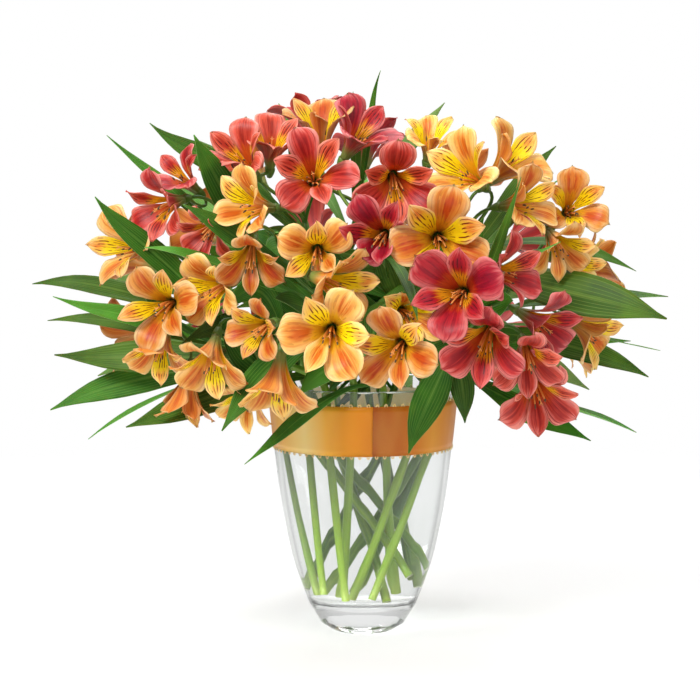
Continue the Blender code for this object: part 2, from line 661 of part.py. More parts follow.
def place_tepals(crowd, blooms):
    """How each bloom's tepals give way, for the blooms nearest the front first."""
    bends = {}
    for name in sorted(blooms, key=lambda name: blooms[name].mouth.y):
        bends[name] = {}
        for number in (1, 3, 5, 0, 2, 4):

            def tepal(bend, grow=CLEARANCE):
                return blade_shape(*blooms[name].tepal(number, bend, grow))

            bends[name][number] = first_clear(TEPAL_BENDS, tepal, crowd, (name,))
            crowd.add(name + "_tepals", *tepal(bends[name][number], 0.0))
    return bends


def place_leaves(crowd, leaves, paths, parts):
    for leaf in leaves:
        stem = leaf[0]

        def blade(bend, grow=CLEARANCE):
            return blade_shape(*leaf_points(paths[stem], leaf, bend, grow))

        bend = first_clear(LEAF_BENDS, blade, crowd, (stem,))
        crowd.add(stem + "_leaves", *blade(bend, 0.0))
        parts[stem].append(blade(bend, 0.0))


def make_bouquet():
    """Lays out the bouquet, then makes each leafy stem and each bloom. It returns the stems' paths."""
    crowd = Crowd()
    crowd.add("vase", *vase_shape())
    crowd.add("ribbon", *ribbon_shape())
    blooms = all_blooms()
    paths, parts = place_stems(crowd)
    for name, bloom in blooms.items():
        if crowd.touches(*bloom.core()):
            print(name, "crosses another bloom or a stem")
        crowd.add(name, *bloom.core())
    side_stalks = place_stalks(crowd, blooms, paths, parts)
    place_leaves(crowd, FRONT_LEAVES, paths, parts)
    bends = place_tepals(crowd, blooms)
    place_leaves(crowd, LEAVES, paths, parts)

    for name, shapes in parts.items():
        finish(fuse(name, shapes), GREEN, 0.5)
    for name, row in BLOOMS.items():
        shapes = [blooms[name].shape(bends[name])]
        if name in SIDE_BLOOMS:
            side = name + "_side"
            shapes += [side_stalks[name], blooms[side].shape(bends[side])]
        finish(fuse(name, shapes), row[0], 0.45)
    return paths


def make_water(paths):
    """The water, with a plain hole for each stem from its surface down past the stem's foot."""
    points, faces = lathe(inner_profile(GAP, WATER_LEVEL), PANELS)
    water = add_object("water", points, faces)
    holes = bpy.data.collections.new("stem_holes")
    for name, path in paths.items():
        foot, mouth = path[0], path[1]
        along = (mouth - foot).normalized()
        ends = [foot - along * GAP, mouth]
        holes.objects.link(add_object(name + "_hole", *tube(ends, [STEM_RADIUS + 0.4] * 2, STEM_SIDES)))
    cut = water.modifiers.new("Holes", "BOOLEAN")
    cut.operation = "DIFFERENCE"
    cut.operand_type = "COLLECTION"
    cut.collection = holes
    bpy.context.view_layer.objects.active = water
    bpy.ops.object.modifier_apply(modifier=cut.name)
    for hole in list(holes.objects):
        bpy.data.objects.remove(hole)
    bpy.data.collections.remove(holes)
    finish(water, (0.97, 0.98, 0.98), 0.0, 1.0)


for old in list(bpy.data.objects):
    bpy.data.objects.remove(old)
finish(add_object("vase", *vase_shape()), (0.96, 0.97, 0.97), 0.03, 1.0)
finish(add_object("ribbon", *ribbon_shape()), RIBBON_ORANGE, 0.35)
make_water(make_bouquet())
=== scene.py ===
import itertools
import math
import random

import bpy
import numpy as np
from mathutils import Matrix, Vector
from mathutils.kdtree import KDTree


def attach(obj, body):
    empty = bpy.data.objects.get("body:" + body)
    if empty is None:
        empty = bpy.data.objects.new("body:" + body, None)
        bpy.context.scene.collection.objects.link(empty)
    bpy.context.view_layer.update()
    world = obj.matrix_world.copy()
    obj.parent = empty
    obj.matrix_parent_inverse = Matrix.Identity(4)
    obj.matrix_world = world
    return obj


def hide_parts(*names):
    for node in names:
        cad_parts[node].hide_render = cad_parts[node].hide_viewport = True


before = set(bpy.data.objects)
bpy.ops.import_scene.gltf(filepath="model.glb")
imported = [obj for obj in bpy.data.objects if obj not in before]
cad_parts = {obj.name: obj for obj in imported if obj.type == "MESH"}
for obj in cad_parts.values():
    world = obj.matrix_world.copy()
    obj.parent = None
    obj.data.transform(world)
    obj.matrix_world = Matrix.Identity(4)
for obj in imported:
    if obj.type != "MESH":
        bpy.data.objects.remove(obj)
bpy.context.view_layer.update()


# The vase: clear pressed glass with sixteen soft panels up its side, a thick foot and a thin rim. It
# is drawn out ring by ring from its underside, over the rim and down the inside to its floor.
MM = 0.001
PANELS = 16
VASE_OUTSIDE = ((24.5, 0), (33.5, 6), (42.5, 21), (54, 53), (61.5, 85), (66.5, 116), (74.5, 193))
VASE_WALL = 4.0
VASE_FLOOR = 24.0
FLOOR_RADIUS = 34.0
FLOOR_BEND = 7.0
PROFILE_STEPS = 6
PANEL_SOFTNESS = 0.84
GLASS_SIDES = 128


class Nodes:
    """The nodes of a material or of the world, added here with their values and links."""

    def __init__(self, owner):
        owner.use_nodes = True
        self.owner, self.tree = owner, owner.node_tree

    def set(self, socket, value):
        if isinstance(value, bpy.types.NodeSocket):
            self.tree.links.new(value, socket)
        else:
            socket.default_value = (*value, 1) if socket.type == "RGBA" else value

    def add(self, kind, *values, **settings):
        """A new node with these settings, and with these values or links in its first sockets."""
        node = self.tree.nodes.new("ShaderNode" + kind)
        for name, setting in settings.items():
            setattr(node, name, setting)
        for socket, value in zip(node.inputs, values):
            self.set(socket, value)
        return node

    def shade(self, sockets):
        """Sets sockets of the material's own shader."""
        shader = self.tree.nodes["Principled BSDF"]
        for name, value in sockets.items():
            self.set(shader.inputs[name], value)
        return shader.outputs[0]

    def blend(self, share, first, second):
        """Makes the surface a blend of two shaders."""
        mixed = self.add("MixShader", share, first, second)
        self.set(self.tree.nodes["Material Output"].inputs["Surface"], mixed.outputs[0])


def clear_material(name, tint, ior, gleam):
    """Glass or water that lets the lamps through, so that what stands in it is lit."""
    nodes = Nodes(bpy.data.materials.new(name))
    clear = {"Base Color": tint, "Roughness": 0, "IOR": ior, "Transmission Weight": 1}
    shader = nodes.shade({**clear, "Specular Tint": (gleam, gleam, gleam)})
    through = nodes.add("BsdfTransparent", tint).outputs[0]
    nodes.blend(nodes.add("LightPath").outputs["Is Shadow Ray"], shader, through)
    return nodes.owner


def outer_radius(height):
    heights = [high for _, high in VASE_OUTSIDE]
    return float(np.interp(height, heights, [radius for radius, _ in VASE_OUTSIDE]))


def between(p, q, r, s, t):
    """The value at a share t of a smooth curve from q to r, with p before them and s after."""
    bend = (2 * p - 5 * q + 4 * r - s) * t**2
    return 0.5 * (2 * q + (r - p) * t + bend + (3 * q - p - 3 * r + s) * t**3)


def smooth_profile(corners, steps):
    """Points of a smooth curve through these corners of (radius, height)."""
    ends = [corners[0], *corners, corners[-1]]
    curve = []
    for four in zip(ends, ends[1:], ends[2:], ends[3:]):
        curve += [tuple(between(*values, i / steps) for values in zip(*four)) for i in range(steps)]
    return [*curve, corners[-1]]


def panelled(radius, degrees):
    """The radius at an angle of a ring that is pressed into soft panels."""
    half = math.pi / PANELS
    within = math.radians(degrees) % (2 * half) - half
    flat = radius * math.cos(half) / math.cos(within)
    return flat + (radius * (1 + math.cos(half)) / 2 - flat) * PANEL_SOFTNESS


def ringed(profile, sides):
    """Draws a closed turned shape out of its first ring, which is its underside."""
    bpy.ops.object.select_all(action="DESELECT")
    radius, height = profile[0]
    bpy.ops.mesh.primitive_circle_add(
        vertices=sides, radius=radius * MM, location=(0, 0, height * MM), fill_type="NGON"
    )
    piece = bpy.context.active_object
    bpy.ops.object.transform_apply()
    bpy.ops.object.mode_set(mode="EDIT")
    for (before, low), (after, high) in itertools.pairwise(profile):
        bpy.ops.mesh.extrude_region_move(TRANSFORM_OT_translate={"value": (0, 0, (high - low) * MM)})
        bpy.ops.transform.resize(value=(after / before, after / before, 1), center_override=(0, 0, 0))
    bpy.ops.mesh.select_all(action="SELECT")
    bpy.ops.mesh.normals_make_consistent(inside=False)
    bpy.ops.object.mode_set(mode="OBJECT")
    bpy.ops.object.shade_smooth()
    return piece


def inside_profile(shrink, top):
    """The inside of the vase from its floor up to a height, made smaller all round."""
    floor = VASE_FLOOR + shrink
    bend = floor + FLOOR_BEND
    corners = [(FLOOR_RADIUS - shrink, floor), (outer_radius(bend) - VASE_WALL - 1.5 - shrink, bend)]
    for radius, height in VASE_OUTSIDE[3:]:
        if height < top:
            corners.append((radius - VASE_WALL - shrink, height))
    return [*corners, (outer_radius(top) - VASE_WALL - shrink, top)]


rim = VASE_OUTSIDE[-1][1]
side = smooth_profile(VASE_OUTSIDE[2:], PROFILE_STEPS)
outside = [(24.5, 0), (25.3, 0.4), (33.5, 6), (41.8, 19.8), *side]
inside = smooth_profile(inside_profile(0, rim), PROFILE_STEPS)
over_rim = [
    (74.33, rim - 1.6), (74.4, rim - 0.7), (74.1, rim - 0.15), (73.4, rim),
    (71.6, rim), (70.9, rim - 0.15), (70.45, rim - 0.7), (70.33, rim - 1.6),
]
foot = [(20.0, 1.4), (23.4, 1.0)]
vase = ringed(foot + outside[:-1] + over_rim + inside[-2::-1], GLASS_SIDES)
for vertex in vase.data.vertices:
    x, y, height = vertex.co / MM
    full = math.hypot(x, y)
    if full > outer_radius(height) - VASE_WALL / 2:
        share = panelled(full, math.degrees(math.atan2(y, x))) / full
        vertex.co.x, vertex.co.y = x * share * MM, y * share * MM
vase.name = "glass_vase"
vase.data.materials.append(clear_material("vase_glass", (0.985, 0.992, 0.99), 1.5, 0.75))
polished = Nodes(bpy.data.materials.new("polished_rim"))
polished.shade({"Base Color": (0.86, 0.88, 0.87), "Roughness": 0.12, "Transmission Weight": 0.35})
vase.data.materials.append(polished.owner)
for face in vase.data.polygons:
    if face.center.z > (rim - 0.35) * MM:
        face.material_index = 1
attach(vase, "root")
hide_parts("vase")


# The water: poured up to behind the ribbon, level, with a small rise where it meets the glass. It
# fills the vase's inside down to its floor and laps a hair into the glass, so that no air shows.
WATER_LEVEL = 161.0
WATER_LAP = 0.15
MENISCUS = 1.2

wet = smooth_profile(inside_profile(-WATER_LAP, WATER_LEVEL), PROFILE_STEPS)
surface = [(wet[-1][0] - 1.5, WATER_LEVEL - 0.8 * MENISCUS), (wet[-1][0] - 5, WATER_LEVEL - MENISCUS)]
water = ringed([(10, VASE_FLOOR - WATER_LAP), *wet, *surface], GLASS_SIDES)
water.name = "vase_water"
water.data.materials.append(clear_material("clear_water", (0.985, 0.995, 0.985), 1.33, 0.1))
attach(water, "root")
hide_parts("water")


# The stems: fresh green alstroemeria stems, cut at an angle and set in the water so that they lean
# past each other. Each carries thin flower stalks at its top and long pointed leaves.
STEM_RADIUS = 2.9
STEM_TOP_RADIUS = 2.5
MOUTH_HEIGHT = 190.0
STEM_STEPS = 14
STEM_SIDES = 14
NEAR = 0.00004

# Each stem: its cut foot, its place in the vase's mouth, and the place where its stalks start
STEMS = {
    "far_left": ((-29, -8, 31), (-60, -12), (-96, -48, 232)),
    "left_red": ((-27, -21, 33), (-41, -38), (-84, -38, 292)),
    "left_top": ((31, -18, 47), (-55, 10), (-44, -38, 318)),
    "low_left": ((-12, -28, 29), (-28, -51), (-66, -84, 226)),
    "left_inner": ((-12, 6, 30), (-7, -56), (-36, -82, 272)),
    "centre": ((16, 23, 32), (15, -55), (0, -96, 232)),
    "centre_red": ((-7, -13, 29), (44, -36), (14, -62, 300)),
    "right_red": ((6, -27, 30), (59, -20), (72, -74, 236)),
    "right_top": ((-20, 22, 31), (55, 14), (74, -42, 300)),
    "right": ((-4, 26, 32), (48, 30), (104, -22, 256)),
    "back_right": ((-31, 14, 34), (28, 50), (66, 58, 262)),
    "back": ((26, 25, 36), (2, 58), (6, 78, 272)),
    "back_left": ((16, -22, 27), (-25, 51), (-78, 50, 258)),
    "top": ((42, -2, 50), (-46, 26), (-4, 14, 326)),
}

# Each leaf: its stem, the share of the stem at which it grows, its tip, width and lift
LEAVES = (
    ("far_left", 0.98, (-195, -114, 339), 20, 6),
    ("left_red", 0.95, (-118, -128, 384), 23, 0),
    ("left_inner", 0.97, (-127, -152, 333), 18, 6),
    ("left_inner", 0.94, (-152, -152, 308), 17, 4),
    ("far_left", 0.96, (-181, -150, 289), 13, 4),
    ("low_left", 0.8, (-170, -112, 166), 26, 20),
    ("left_inner", 0.84, (-104, -150, 178), 24, 24),
    ("left_inner", 0.99, (-62, -170, 322), 17, 2),
    ("centre_red", 0.9, (-7, -192, 300), 9, 26),
    ("right_red", 0.9, (36, -118, 152), 25, 24),
    ("centre_red", 0.97, (39, -186, 252), 9, 24),
    ("right_top", 0.95, (214, -118, 250), 36, 4),
    ("right_red", 0.98, (113, -134, 348), 8, 0),
    ("right_top", 0.94, (134, -134, 310), 10, 36),
    ("left_top", 0.97, (-161, -40, 389), 18, 14),
    ("left_red", 0.97, (-195, -40, 378), 10, 12),
    ("far_left", 0.93, (-249, -40, 280), 17, 22),
    ("far_left", 0.9, (-232, -60, 257), 14, 14),
    ("far_left", 0.86, (-241, -24, 243), 14, 20),
    ("low_left", 0.88, (-229, -54, 211), 26, 16),
    ("far_left", 0.8, (-234, -60, 178), 24, 22),
    ("low_left", 0.84, (-205, -76, 159), 22, 20),
    ("centre", 0.78, (-81, -112, 140), 14, 34),
    ("right_red", 0.82, (78, -104, 172), 19, 24),
    ("right_red", 0.86, (206, -56, 164), 38, -8),
    ("right_red", 0.8, (170, -64, 156), 28, -4),
    ("right_top", 0.97, (209, -20, 282), 15, 16),
    ("right", 0.94, (235, 0, 258), 20, 18),
    ("right", 0.86, (215, -40, 199), 22, 22),
    ("right", 0.9, (228, -6, 215), 12, 16),
    ("right", 0.82, (212, 22, 223), 10, 12),
    ("top", 0.99, (12, -18, 434), 6, 4),
    ("top", 0.97, (-5, -26, 414), 8, 2),
    ("left_top", 0.99, (-57, -58, 398), 8, 2),
    ("centre", 0.86, (-50, -96, 196), 20, 22),
    ("centre_red", 0.84, (4, -104, 202), 18, 30),
    ("right_red", 0.95, (84, -112, 328), 16, 4),
    ("left_top", 0.9, (-74, -70, 300), 22, 8),
    ("top", 0.9, (20, -60, 330), 20, 10),
    ("low_left", 0.92, (-96, -150, 262), 20, 8),
    ("left_inner", 0.9, (-62, -150, 264), 20, 8),
    ("low_left", 0.86, (-128, -112, 232), 22, 10),
    ("low_left", 0.9, (-104, -104, 252), 24, 10),
    ("left_inner", 0.8, (-40, -124, 226), 22, 14),
    ("centre", 0.92, (10, -136, 260), 20, 8),
    ("centre_red", 0.8, (40, -118, 262), 22, 12),
    ("right_red", 0.92, (112, -96, 262), 22, 10),
    ("right", 0.8, (140, -60, 228), 24, 14),
    ("left_red", 0.85, (-118, -60, 300), 22, 10),
    ("back_right", 0.84, (186, 96, 176), 24, 24),
    ("back_right", 0.92, (206, 82, 262), 24, 20),
    ("back_right", 0.98, (160, 98, 352), 18, 12),
    ("back_right", 0.88, (98, 156, 180), 22, 24),
    ("back", 0.8, (44, 168, 160), 24, 26),
    ("back", 0.84, (-36, 176, 176), 22, 24),
    ("back", 0.92, (58, 184, 258), 22, 16),
    ("back", 0.96, (4, 178, 350), 18, 10),
    ("back", 0.88, (-16, 190, 262), 20, 14),
    ("back_left", 0.82, (-146, 118, 164), 26, 24),
    ("back_left", 0.86, (-214, 74, 190), 24, 22),
    ("back_left", 0.93, (-212, 78, 268), 22, 18),
    ("back_left", 0.98, (-168, 92, 356), 18, 12),
    ("back_left", 0.9, (-92, 166, 200), 20, 16),
    ("top", 0.95, (62, 46, 410), 14, 8),
    ("top", 0.93, (-66, 62, 404), 16, 8),
    ("right_top", 0.9, (150, 24, 372), 16, 14),
    ("left_top", 0.94, (-132, 26, 380), 17, 12),
)

# The solid leaves' sections, as (share of the length, share of the width, cup), and the ways in which
# they may have been laid to keep clear of each other: narrowed, shortened, bowed, raised or turned
LEAF_STATIONS = ((0.34, 0.6, 0.12), (0.66, 1.0, 0.14), (0.88, 0.62, 0.1))
NARROW_STATIONS = ((0.4, 0.9, 0.12), (0.76, 0.9, 0.12))
NARROW_WIDTH = 12
LEAF_FACE = 0.4
LEAF_ROOT = 1.6
LEAF_WAYS = tuple(itertools.product(
    (1.0, 0.8, 0.6, 0.4),
    (1.0, 0.86),
    (0, 14, -14, 28, -28, 42, -42),
    (0, 14, -14, 28, -28),
    (0, 30, -30, 60, -60, 90),
))

# The drawn leaves' outlines, as (share of the length, share of the width)
LEAF_OUTLINE = (
    (0, 0.13), (0.15, 0.3), (0.3, 0.58), (0.45, 0.86), (0.6, 1), (0.72, 0.92), (0.82, 0.68), (0.9, 0.38),
    (0.95, 0.17), (1, 0.04)
)
NARROW_OUTLINE = (
    (0, 0.2), (0.2, 0.55), (0.4, 0.88), (0.55, 1), (0.7, 0.86), (0.82, 0.58), (0.92, 0.24), (1, 0.05)
)
LEAF_ROWS = 24
LEAF_COLUMNS = 9
LEAF_THICKNESS = 0.5
LEAF_RUFFLE = (0.8, 2.6)
LEAF_SWAY = 3.2
LEAF_CURL = 150
LEAF_CURL_START = 0.76
ON_LEAF, ON_LEAF_BACK, ON_STEM, ON_CUT = range(4)
INNER_LEAVES = 6
INNER_CENTRE = (0, 0, 262)
INNER_REACH = (128, 92, 84)
INNER_SHARES = (0.62, 0.95)
INNER_TURN = 40


def bezier(start, first, second, end, share):
    rest = 1 - share
    return start * rest**3 + first * 3 * rest**2 * share + second * 3 * rest * share**2 + end * share**3


def stem_path(foot, mouth, node, steps):
    """From the cut foot straight to the vase's mouth, then in a curve to where the stalks start."""
    foot, mouth, node = Vector(foot), Vector((*mouth, MOUTH_HEIGHT)), Vector(node)
    along = (mouth - foot).normalized()
    reach = (node - mouth).length
    outward = Vector((node.x, node.y, 0)).normalized()
    before = node - (outward * 0.45 + Vector((0, 0, 0.9))).normalized() * reach * 0.35
    ahead = mouth + along * reach * 0.35
    return [foot, mouth] + [bezier(mouth, ahead, before, node, (i + 1) / steps) for i in range(steps)]


def along_path(path, share):
    """The place at this share of a path's length, and the way it runs there."""
    lengths = [(after - before).length for before, after in itertools.pairwise(path)]
    left = share * sum(lengths)
    for (before, after), length in zip(itertools.pairwise(path), lengths):
        if left <= length:
            return before.lerp(after, left / length), (after - before).normalized()
        left -= length
    return path[-1], (path[-1] - path[-2]).normalized()


def tube_rings(path, radii, sides):
    """The rings of points round a stalk."""
    rings = []
    side = None
    for i, place in enumerate(path):
        ahead = (path[min(i + 1, len(path) - 1)] - path[max(i - 1, 0)]).normalized()
        if side is None:
            side = ahead.cross(Vector((0.3, 1, 0.2))).normalized()
        side = (side - ahead * side.dot(ahead)).normalized()
        across = ahead.cross(side)
        spokes = [2 * math.pi * k / sides for k in range(sides)]
        spokes = [side * math.cos(turn) + across * math.sin(turn) for turn in spokes]
        rings.append([place + spoke * radii[i] for spoke in spokes])
    return rings


def section(place, side, face, half, cup, rise):
    """The two edges and the raised middle of a plain solid blade at one of its stations."""
    edge = face * cup * half
    return place - side * half + edge, place + side * half + edge, place + face * rise


class Leaf:
    """A leaf's midrib, and how its blade lies along it."""

    def __init__(self, path, row, way):
        _, share, tip, width, lift = row
        narrow, reach, bow, rise, turn = way
        self.root, _ = along_path(path, share)
        self.tip = self.root.lerp(Vector(tip), reach)
        span = self.tip - self.root
        self.shown = Vector((0, -0.9 if self.tip.y < 40 else 0.9, 0.45)).normalized()
        across = span.cross(self.shown).normalized()
        self.middle = self.root.lerp(self.tip, 0.45) + Vector((0, 0, lift + rise)) + across * bow
        self.width = width
        self.half = width * narrow / 2
        self.turn = math.radians(turn)

    def laid(self, share):
        """The midrib's place, and the blade's sideways and upper directions, at a share of its length."""
        rest = 1 - share
        place = self.root * rest**2 + self.middle * 2 * rest * share + self.tip * share**2
        ahead = ((self.middle - self.root) * rest + (self.tip - self.middle) * share).normalized()
        side = ahead.cross(self.shown).normalized()
        face = side.cross(ahead)
        cos, sin = math.cos(self.turn), math.sin(self.turn)
        return place, side * cos + face * sin, face * cos - side * sin

    def corners(self):
        """The corners of the plain solid blade at each of its stations, and its tip."""
        for share, breadth, cup in NARROW_STATIONS if self.width <= NARROW_WIDTH else LEAF_STATIONS:
            yield from section(*self.laid(share), max(self.half * breadth, LEAF_ROOT), cup, LEAF_FACE)
        yield self.tip


def corners_of(node):
    """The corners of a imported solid, to be asked for the nearest one."""
    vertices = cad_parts[node].data.vertices
    tree = KDTree(len(vertices))
    for i, vertex in enumerate(vertices):
        tree.insert(vertex.co, i)
    tree.balance()
    return tree


def chosen(ways, points_of, corners):
    """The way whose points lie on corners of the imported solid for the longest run."""
    best, most = ways[0], -1
    for way in ways:
        found = 0
        for point in points_of(way):
            if corners.find(point * MM)[2] > NEAR:
                break
            found += 1
        if found > most:
            best, most = way, found
    return best


def ring_quads(rings, count):
    """Faces along a run of rings that have this many points each."""
    faces = []
    for row, i in itertools.product(range(rings - 1), range(count)):
        low, after = row * count, (i + 1) % count
        faces.append((low + i, low + after, low + count + after, low + count + i))
    return faces


class Shells:
    """Gathers the closed shells of one piece, each with its UVs, its tone and its material slots."""

    def __init__(self):
        self.points, self.faces, self.uvs, self.tones, self.slots = [], [], [], [], []

    def add(self, points, faces, uvs, tone, slots):
        points = np.asarray(points, float)
        fans = np.array([(face[0], *pair) for face in faces for pair in itertools.pairwise(face[1:])])
        volume = float(np.sum(points[fans[:, 0]] * np.cross(points[fans[:, 1]], points[fans[:, 2]])))
        start = len(self.points)
        self.points += points.tolist()
        turned = faces if volume > 0 else [face[::-1] for face in faces]
        self.faces += [tuple(start + corner for corner in face) for face in turned]
        self.uvs += list(uvs)
        self.tones += [tone] * len(points)
        self.slots += slots if isinstance(slots, list) else [slots] * len(faces)

    def tube(self, path, radii, sides, tone, slot, cap_slot=None):
        rings = tube_rings(path, radii, sides)
        points = [point for ring in rings for point in ring]
        faces = ring_quads(len(rings), sides)
        last = (len(rings) - 1) * sides
        faces += [tuple(range(sides)), tuple(range(last, last + sides))]
        lengths = np.cumsum([0] + [(after - before).length for before, after in itertools.pairwise(path)])
        uvs = [(k / sides, length / lengths[-1]) for length in lengths for k in range(sides)]
        slots = [slot] * (len(faces) - 2) + [slot if cap_slot is None else cap_slot, slot]
        self.add(points, faces, uvs, tone, slots)

    def blade(self, rows, thickness, tone, face_slot, back_slot):
        """A thin blade from rows of points, with its upper face, its back and its rim."""
        grid = np.asarray(rows, float)
        count, wide = grid.shape[:2]
        along = np.gradient(grid, axis=0)
        across = np.gradient(grid, axis=1)
        normal = np.cross(across, along)
        normal /= np.linalg.norm(normal, axis=2, keepdims=True) + 1e-9
        spread = np.linspace(-1, 1, wide)
        share = np.linspace(0, 1, count)
        depth = thickness * (1 - 0.55 * spread**4)[None, :] * np.ones((count, 1))
        depth[-1] = depth[-1] * 0.5
        upper = grid + normal * depth[..., None] / 2
        under = grid - normal * depth[..., None] / 2
        points = np.concatenate([upper.reshape(-1, 3), under.reshape(-1, 3)])
        size = count * wide
        number = np.arange(size).reshape(count, wide)
        faces, slots = [], []
        for i, j in itertools.product(range(count - 1), range(wide - 1)):
            quad = (i * wide + j, i * wide + j + 1, (i + 1) * wide + j + 1, (i + 1) * wide + j)
            faces += [quad, tuple(corner + size for corner in quad[::-1])]
            slots += [face_slot, back_slot]
        sides = [number[0, :], number[1:, -1], number[-1, -2::-1], number[-2:0:-1, 0]]
        edge = np.concatenate(sides).tolist()
        for before, after in zip(edge, edge[1:] + edge[:1]):
            faces.append((after, before, before + size, after + size))
            slots.append(back_slot)
        uvs = [((u + 1) / 2, v) for v in share for u in spread] * 2
        self.add(points, faces, uvs, tone, slots)

    def make(self, name, materials):
        mesh = bpy.data.meshes.new(name)
        mesh.from_pydata([(x * MM, y * MM, z * MM) for x, y, z in self.points], [], self.faces)
        mesh.polygons.foreach_set("material_index", self.slots)
        mesh.polygons.foreach_set("use_smooth", [True] * len(self.faces))
        corners = np.empty(len(mesh.loops), int)
        mesh.loops.foreach_get("vertex_index", corners)
        growth = mesh.uv_layers.new(name="Growth").data
        growth.foreach_set("uv", np.asarray(self.uvs, np.float32)[corners].ravel())
        tones = mesh.attributes.new("tone", "FLOAT", "POINT").data
        tones.foreach_set("value", np.asarray(self.tones, np.float32))
        for material in materials:
            mesh.materials.append(material)
        piece = bpy.data.objects.new(name, mesh)
        bpy.context.scene.collection.objects.link(piece)
        return piece


class Finish(Nodes):
    """A material put together from nodes, with the shares across and along the growth of a blade."""

    def __init__(self, name, sockets):
        super().__init__(bpy.data.materials.new(name))
        self.shade(sockets)
        growth = self.add("SeparateXYZ", self.add("UVMap", uv_map="Growth").outputs[0])
        self.across, self.along = growth.outputs[0], growth.outputs[1]
        self.tone = self.add("Attribute", attribute_name="tone").outputs["Fac"]
        self.place = self.add("TexCoord").outputs["Object"]
        self.spread = self.math("ABSOLUTE", self.math("MULTIPLY_ADD", self.across, 2, -1))

    def math(self, operation, *values):
        return self.add("Math", *values, operation=operation).outputs[0]

    def step(self, value, low, high):
        """A soft rise from 0 at low to 1 at high, or a soft fall where low is the greater."""
        ends = (low, high, 0, 1) if low < high else (high, low, 1, 0)
        return self.add("MapRange", value, *ends, interpolation_type="SMOOTHSTEP").outputs[0]

    def times(self, *values):
        product = values[0]
        for value in values[1:]:
            product = self.math("MULTIPLY", product, value)
        return product

    def mix(self, share, first, second):
        """A colour between two colours, by a share."""
        node = self.add("Mix", data_type="RGBA")
        colours = [socket for socket in node.inputs if socket.type == "RGBA"]
        for socket, value in zip([node.inputs["Factor"], *colours], (share, first, second)):
            self.set(socket, value)
        return next(socket for socket in node.outputs if socket.type == "RGBA")

    def noise(self, vector, scale, detail=2.0):
        node = self.add("TexNoise", vector)
        node.inputs["Scale"].default_value = scale
        node.inputs["Detail"].default_value = detail
        return node.outputs["Fac"]

    def grain(self, across, along, detail=2.0):
        """Noise stretched along the growth: so many grains across and along a blade."""
        lanes = self.times(self.across, across), self.times(self.along, along)
        lengths = self.add("CombineXYZ", *lanes, self.times(self.tone, 37))
        return self.noise(lengths.outputs[0], 1.0, detail)

    def bump(self, height, strength, distance):
        node = self.add("Bump", strength, distance)
        self.set(node.inputs["Height"], height)
        self.shade({"Normal": node.outputs[0]})

    def varied(self, colour, hue, value):
        """Shifts a colour a little with the tone of each leaf or petal."""
        node = self.add("HueSaturation")
        self.set(node.inputs["Color"], colour)
        self.set(node.inputs["Hue"], self.math("MULTIPLY_ADD", self.tone, hue, 0.5 - hue / 2))
        self.set(node.inputs["Value"], self.math("MULTIPLY_ADD", self.tone, value, 1 - value / 2))
        return node.outputs[0]

    def done(self, colour):
        self.shade({"Base Color": colour})
        return self.owner


def speckled(name, low, high, scale, sockets):
    """A plain finish that varies between two colours in fine specks."""
    finish = Finish(name, sockets)
    return finish.done(finish.mix(finish.noise(finish.place, scale), low, high))


def leaf_material(name, dark, fresh, vein, roughness):
    soft = {"Subsurface Weight": 0.12, "Subsurface Scale": 0.002}
    finish = Finish(name, {"Roughness": roughness, "Specular IOR Level": 0.14, **soft})
    body = finish.mix(finish.grain(7, 1.6), dark, fresh)
    body = finish.mix(finish.step(finish.noise(finish.place, 30), 0.45, 0.7), body, fresh)
    body = finish.mix(finish.times(finish.step(finish.tone, 0.66, 0.9), 0.35), body, (0.14, 0.27, 0.02))
    lines = finish.math("PINGPONG", finish.times(finish.across, 11), 0.5)
    veins = finish.step(lines, 0.1, 0.02)
    body = finish.mix(finish.times(veins, 0.55), body, vein)
    middle = finish.times(finish.step(finish.spread, 0.09, 0.0), finish.step(finish.along, 1.0, 0.5))
    body = finish.mix(finish.times(middle, 0.6), body, vein)
    finish.bump(finish.math("ADD", finish.times(veins, 0.5), finish.grain(26, 2)), 0.35, 0.0006)
    return finish.done(finish.varied(body, 0.05, 0.55))


def stem_material():
    finish = Finish("fresh_stem", {"Roughness": 0.42, "Subsurface Weight": 0.1, "Subsurface Scale": 0.003})
    height = finish.add("SeparateXYZ", finish.place).outputs[2]
    foot = finish.times(finish.step(height, 0.06, 0.028), 0.6)
    ridges = finish.grain(9, 0.6)
    # On the stems the tone is painted shade that darkens those at the back; on the stalks it is random
    body = finish.mix(finish.tone, (0.035, 0.13, 0.012), (0.27, 0.46, 0.025))
    body = finish.mix(finish.step(height, 0.15, 0.26), body, (0.05, 0.17, 0.018))
    body = finish.mix(foot, body, (0.42, 0.52, 0.12))
    body = finish.mix(finish.times(finish.step(ridges, 0.4, 0.75), 0.5), body, (0.40, 0.58, 0.06))
    finish.bump(ridges, 0.3, 0.0008)
    return finish.done(body)


leaf_top = leaf_material(
    "leaf_top", (0.012, 0.066, 0.010), (0.070, 0.215, 0.018), (0.22, 0.43, 0.07), 0.46
)
leaf_under = leaf_material(
    "leaf_under", (0.08, 0.205, 0.04), (0.17, 0.335, 0.08), (0.32, 0.50, 0.17), 0.5
)
fresh_stem = stem_material()
cut_end = speckled("cut_end", (0.62, 0.68, 0.38), (0.75, 0.8, 0.55), 900, {"Roughness": 0.6})

stem_paths = {name: stem_path(*places, 3) for name, places in STEMS.items()}
stems = {}
draw = random.Random(5)
for name, places in STEMS.items():
    path = stem_path(*places, 12)
    path = [path[0].lerp(path[1], i / STEM_STEPS) for i in range(STEM_STEPS)] + path[1:]
    shares = np.linspace(0, 1, len(path))
    radii = list(np.interp(shares, (0, 0.6, 1), (STEM_RADIUS, STEM_RADIUS, STEM_TOP_RADIUS)))
    # Stems that stand at the back of the vase are painted darker, as painted shade under the bouquet
    painted_front_light = float(np.interp(places[0][1] + places[1][1], (-60, 60), (0.95, 0.1)))
    stems[name] = Shells()
    stems[name].tube(path, radii, STEM_SIDES, painted_front_light, ON_STEM, ON_CUT)


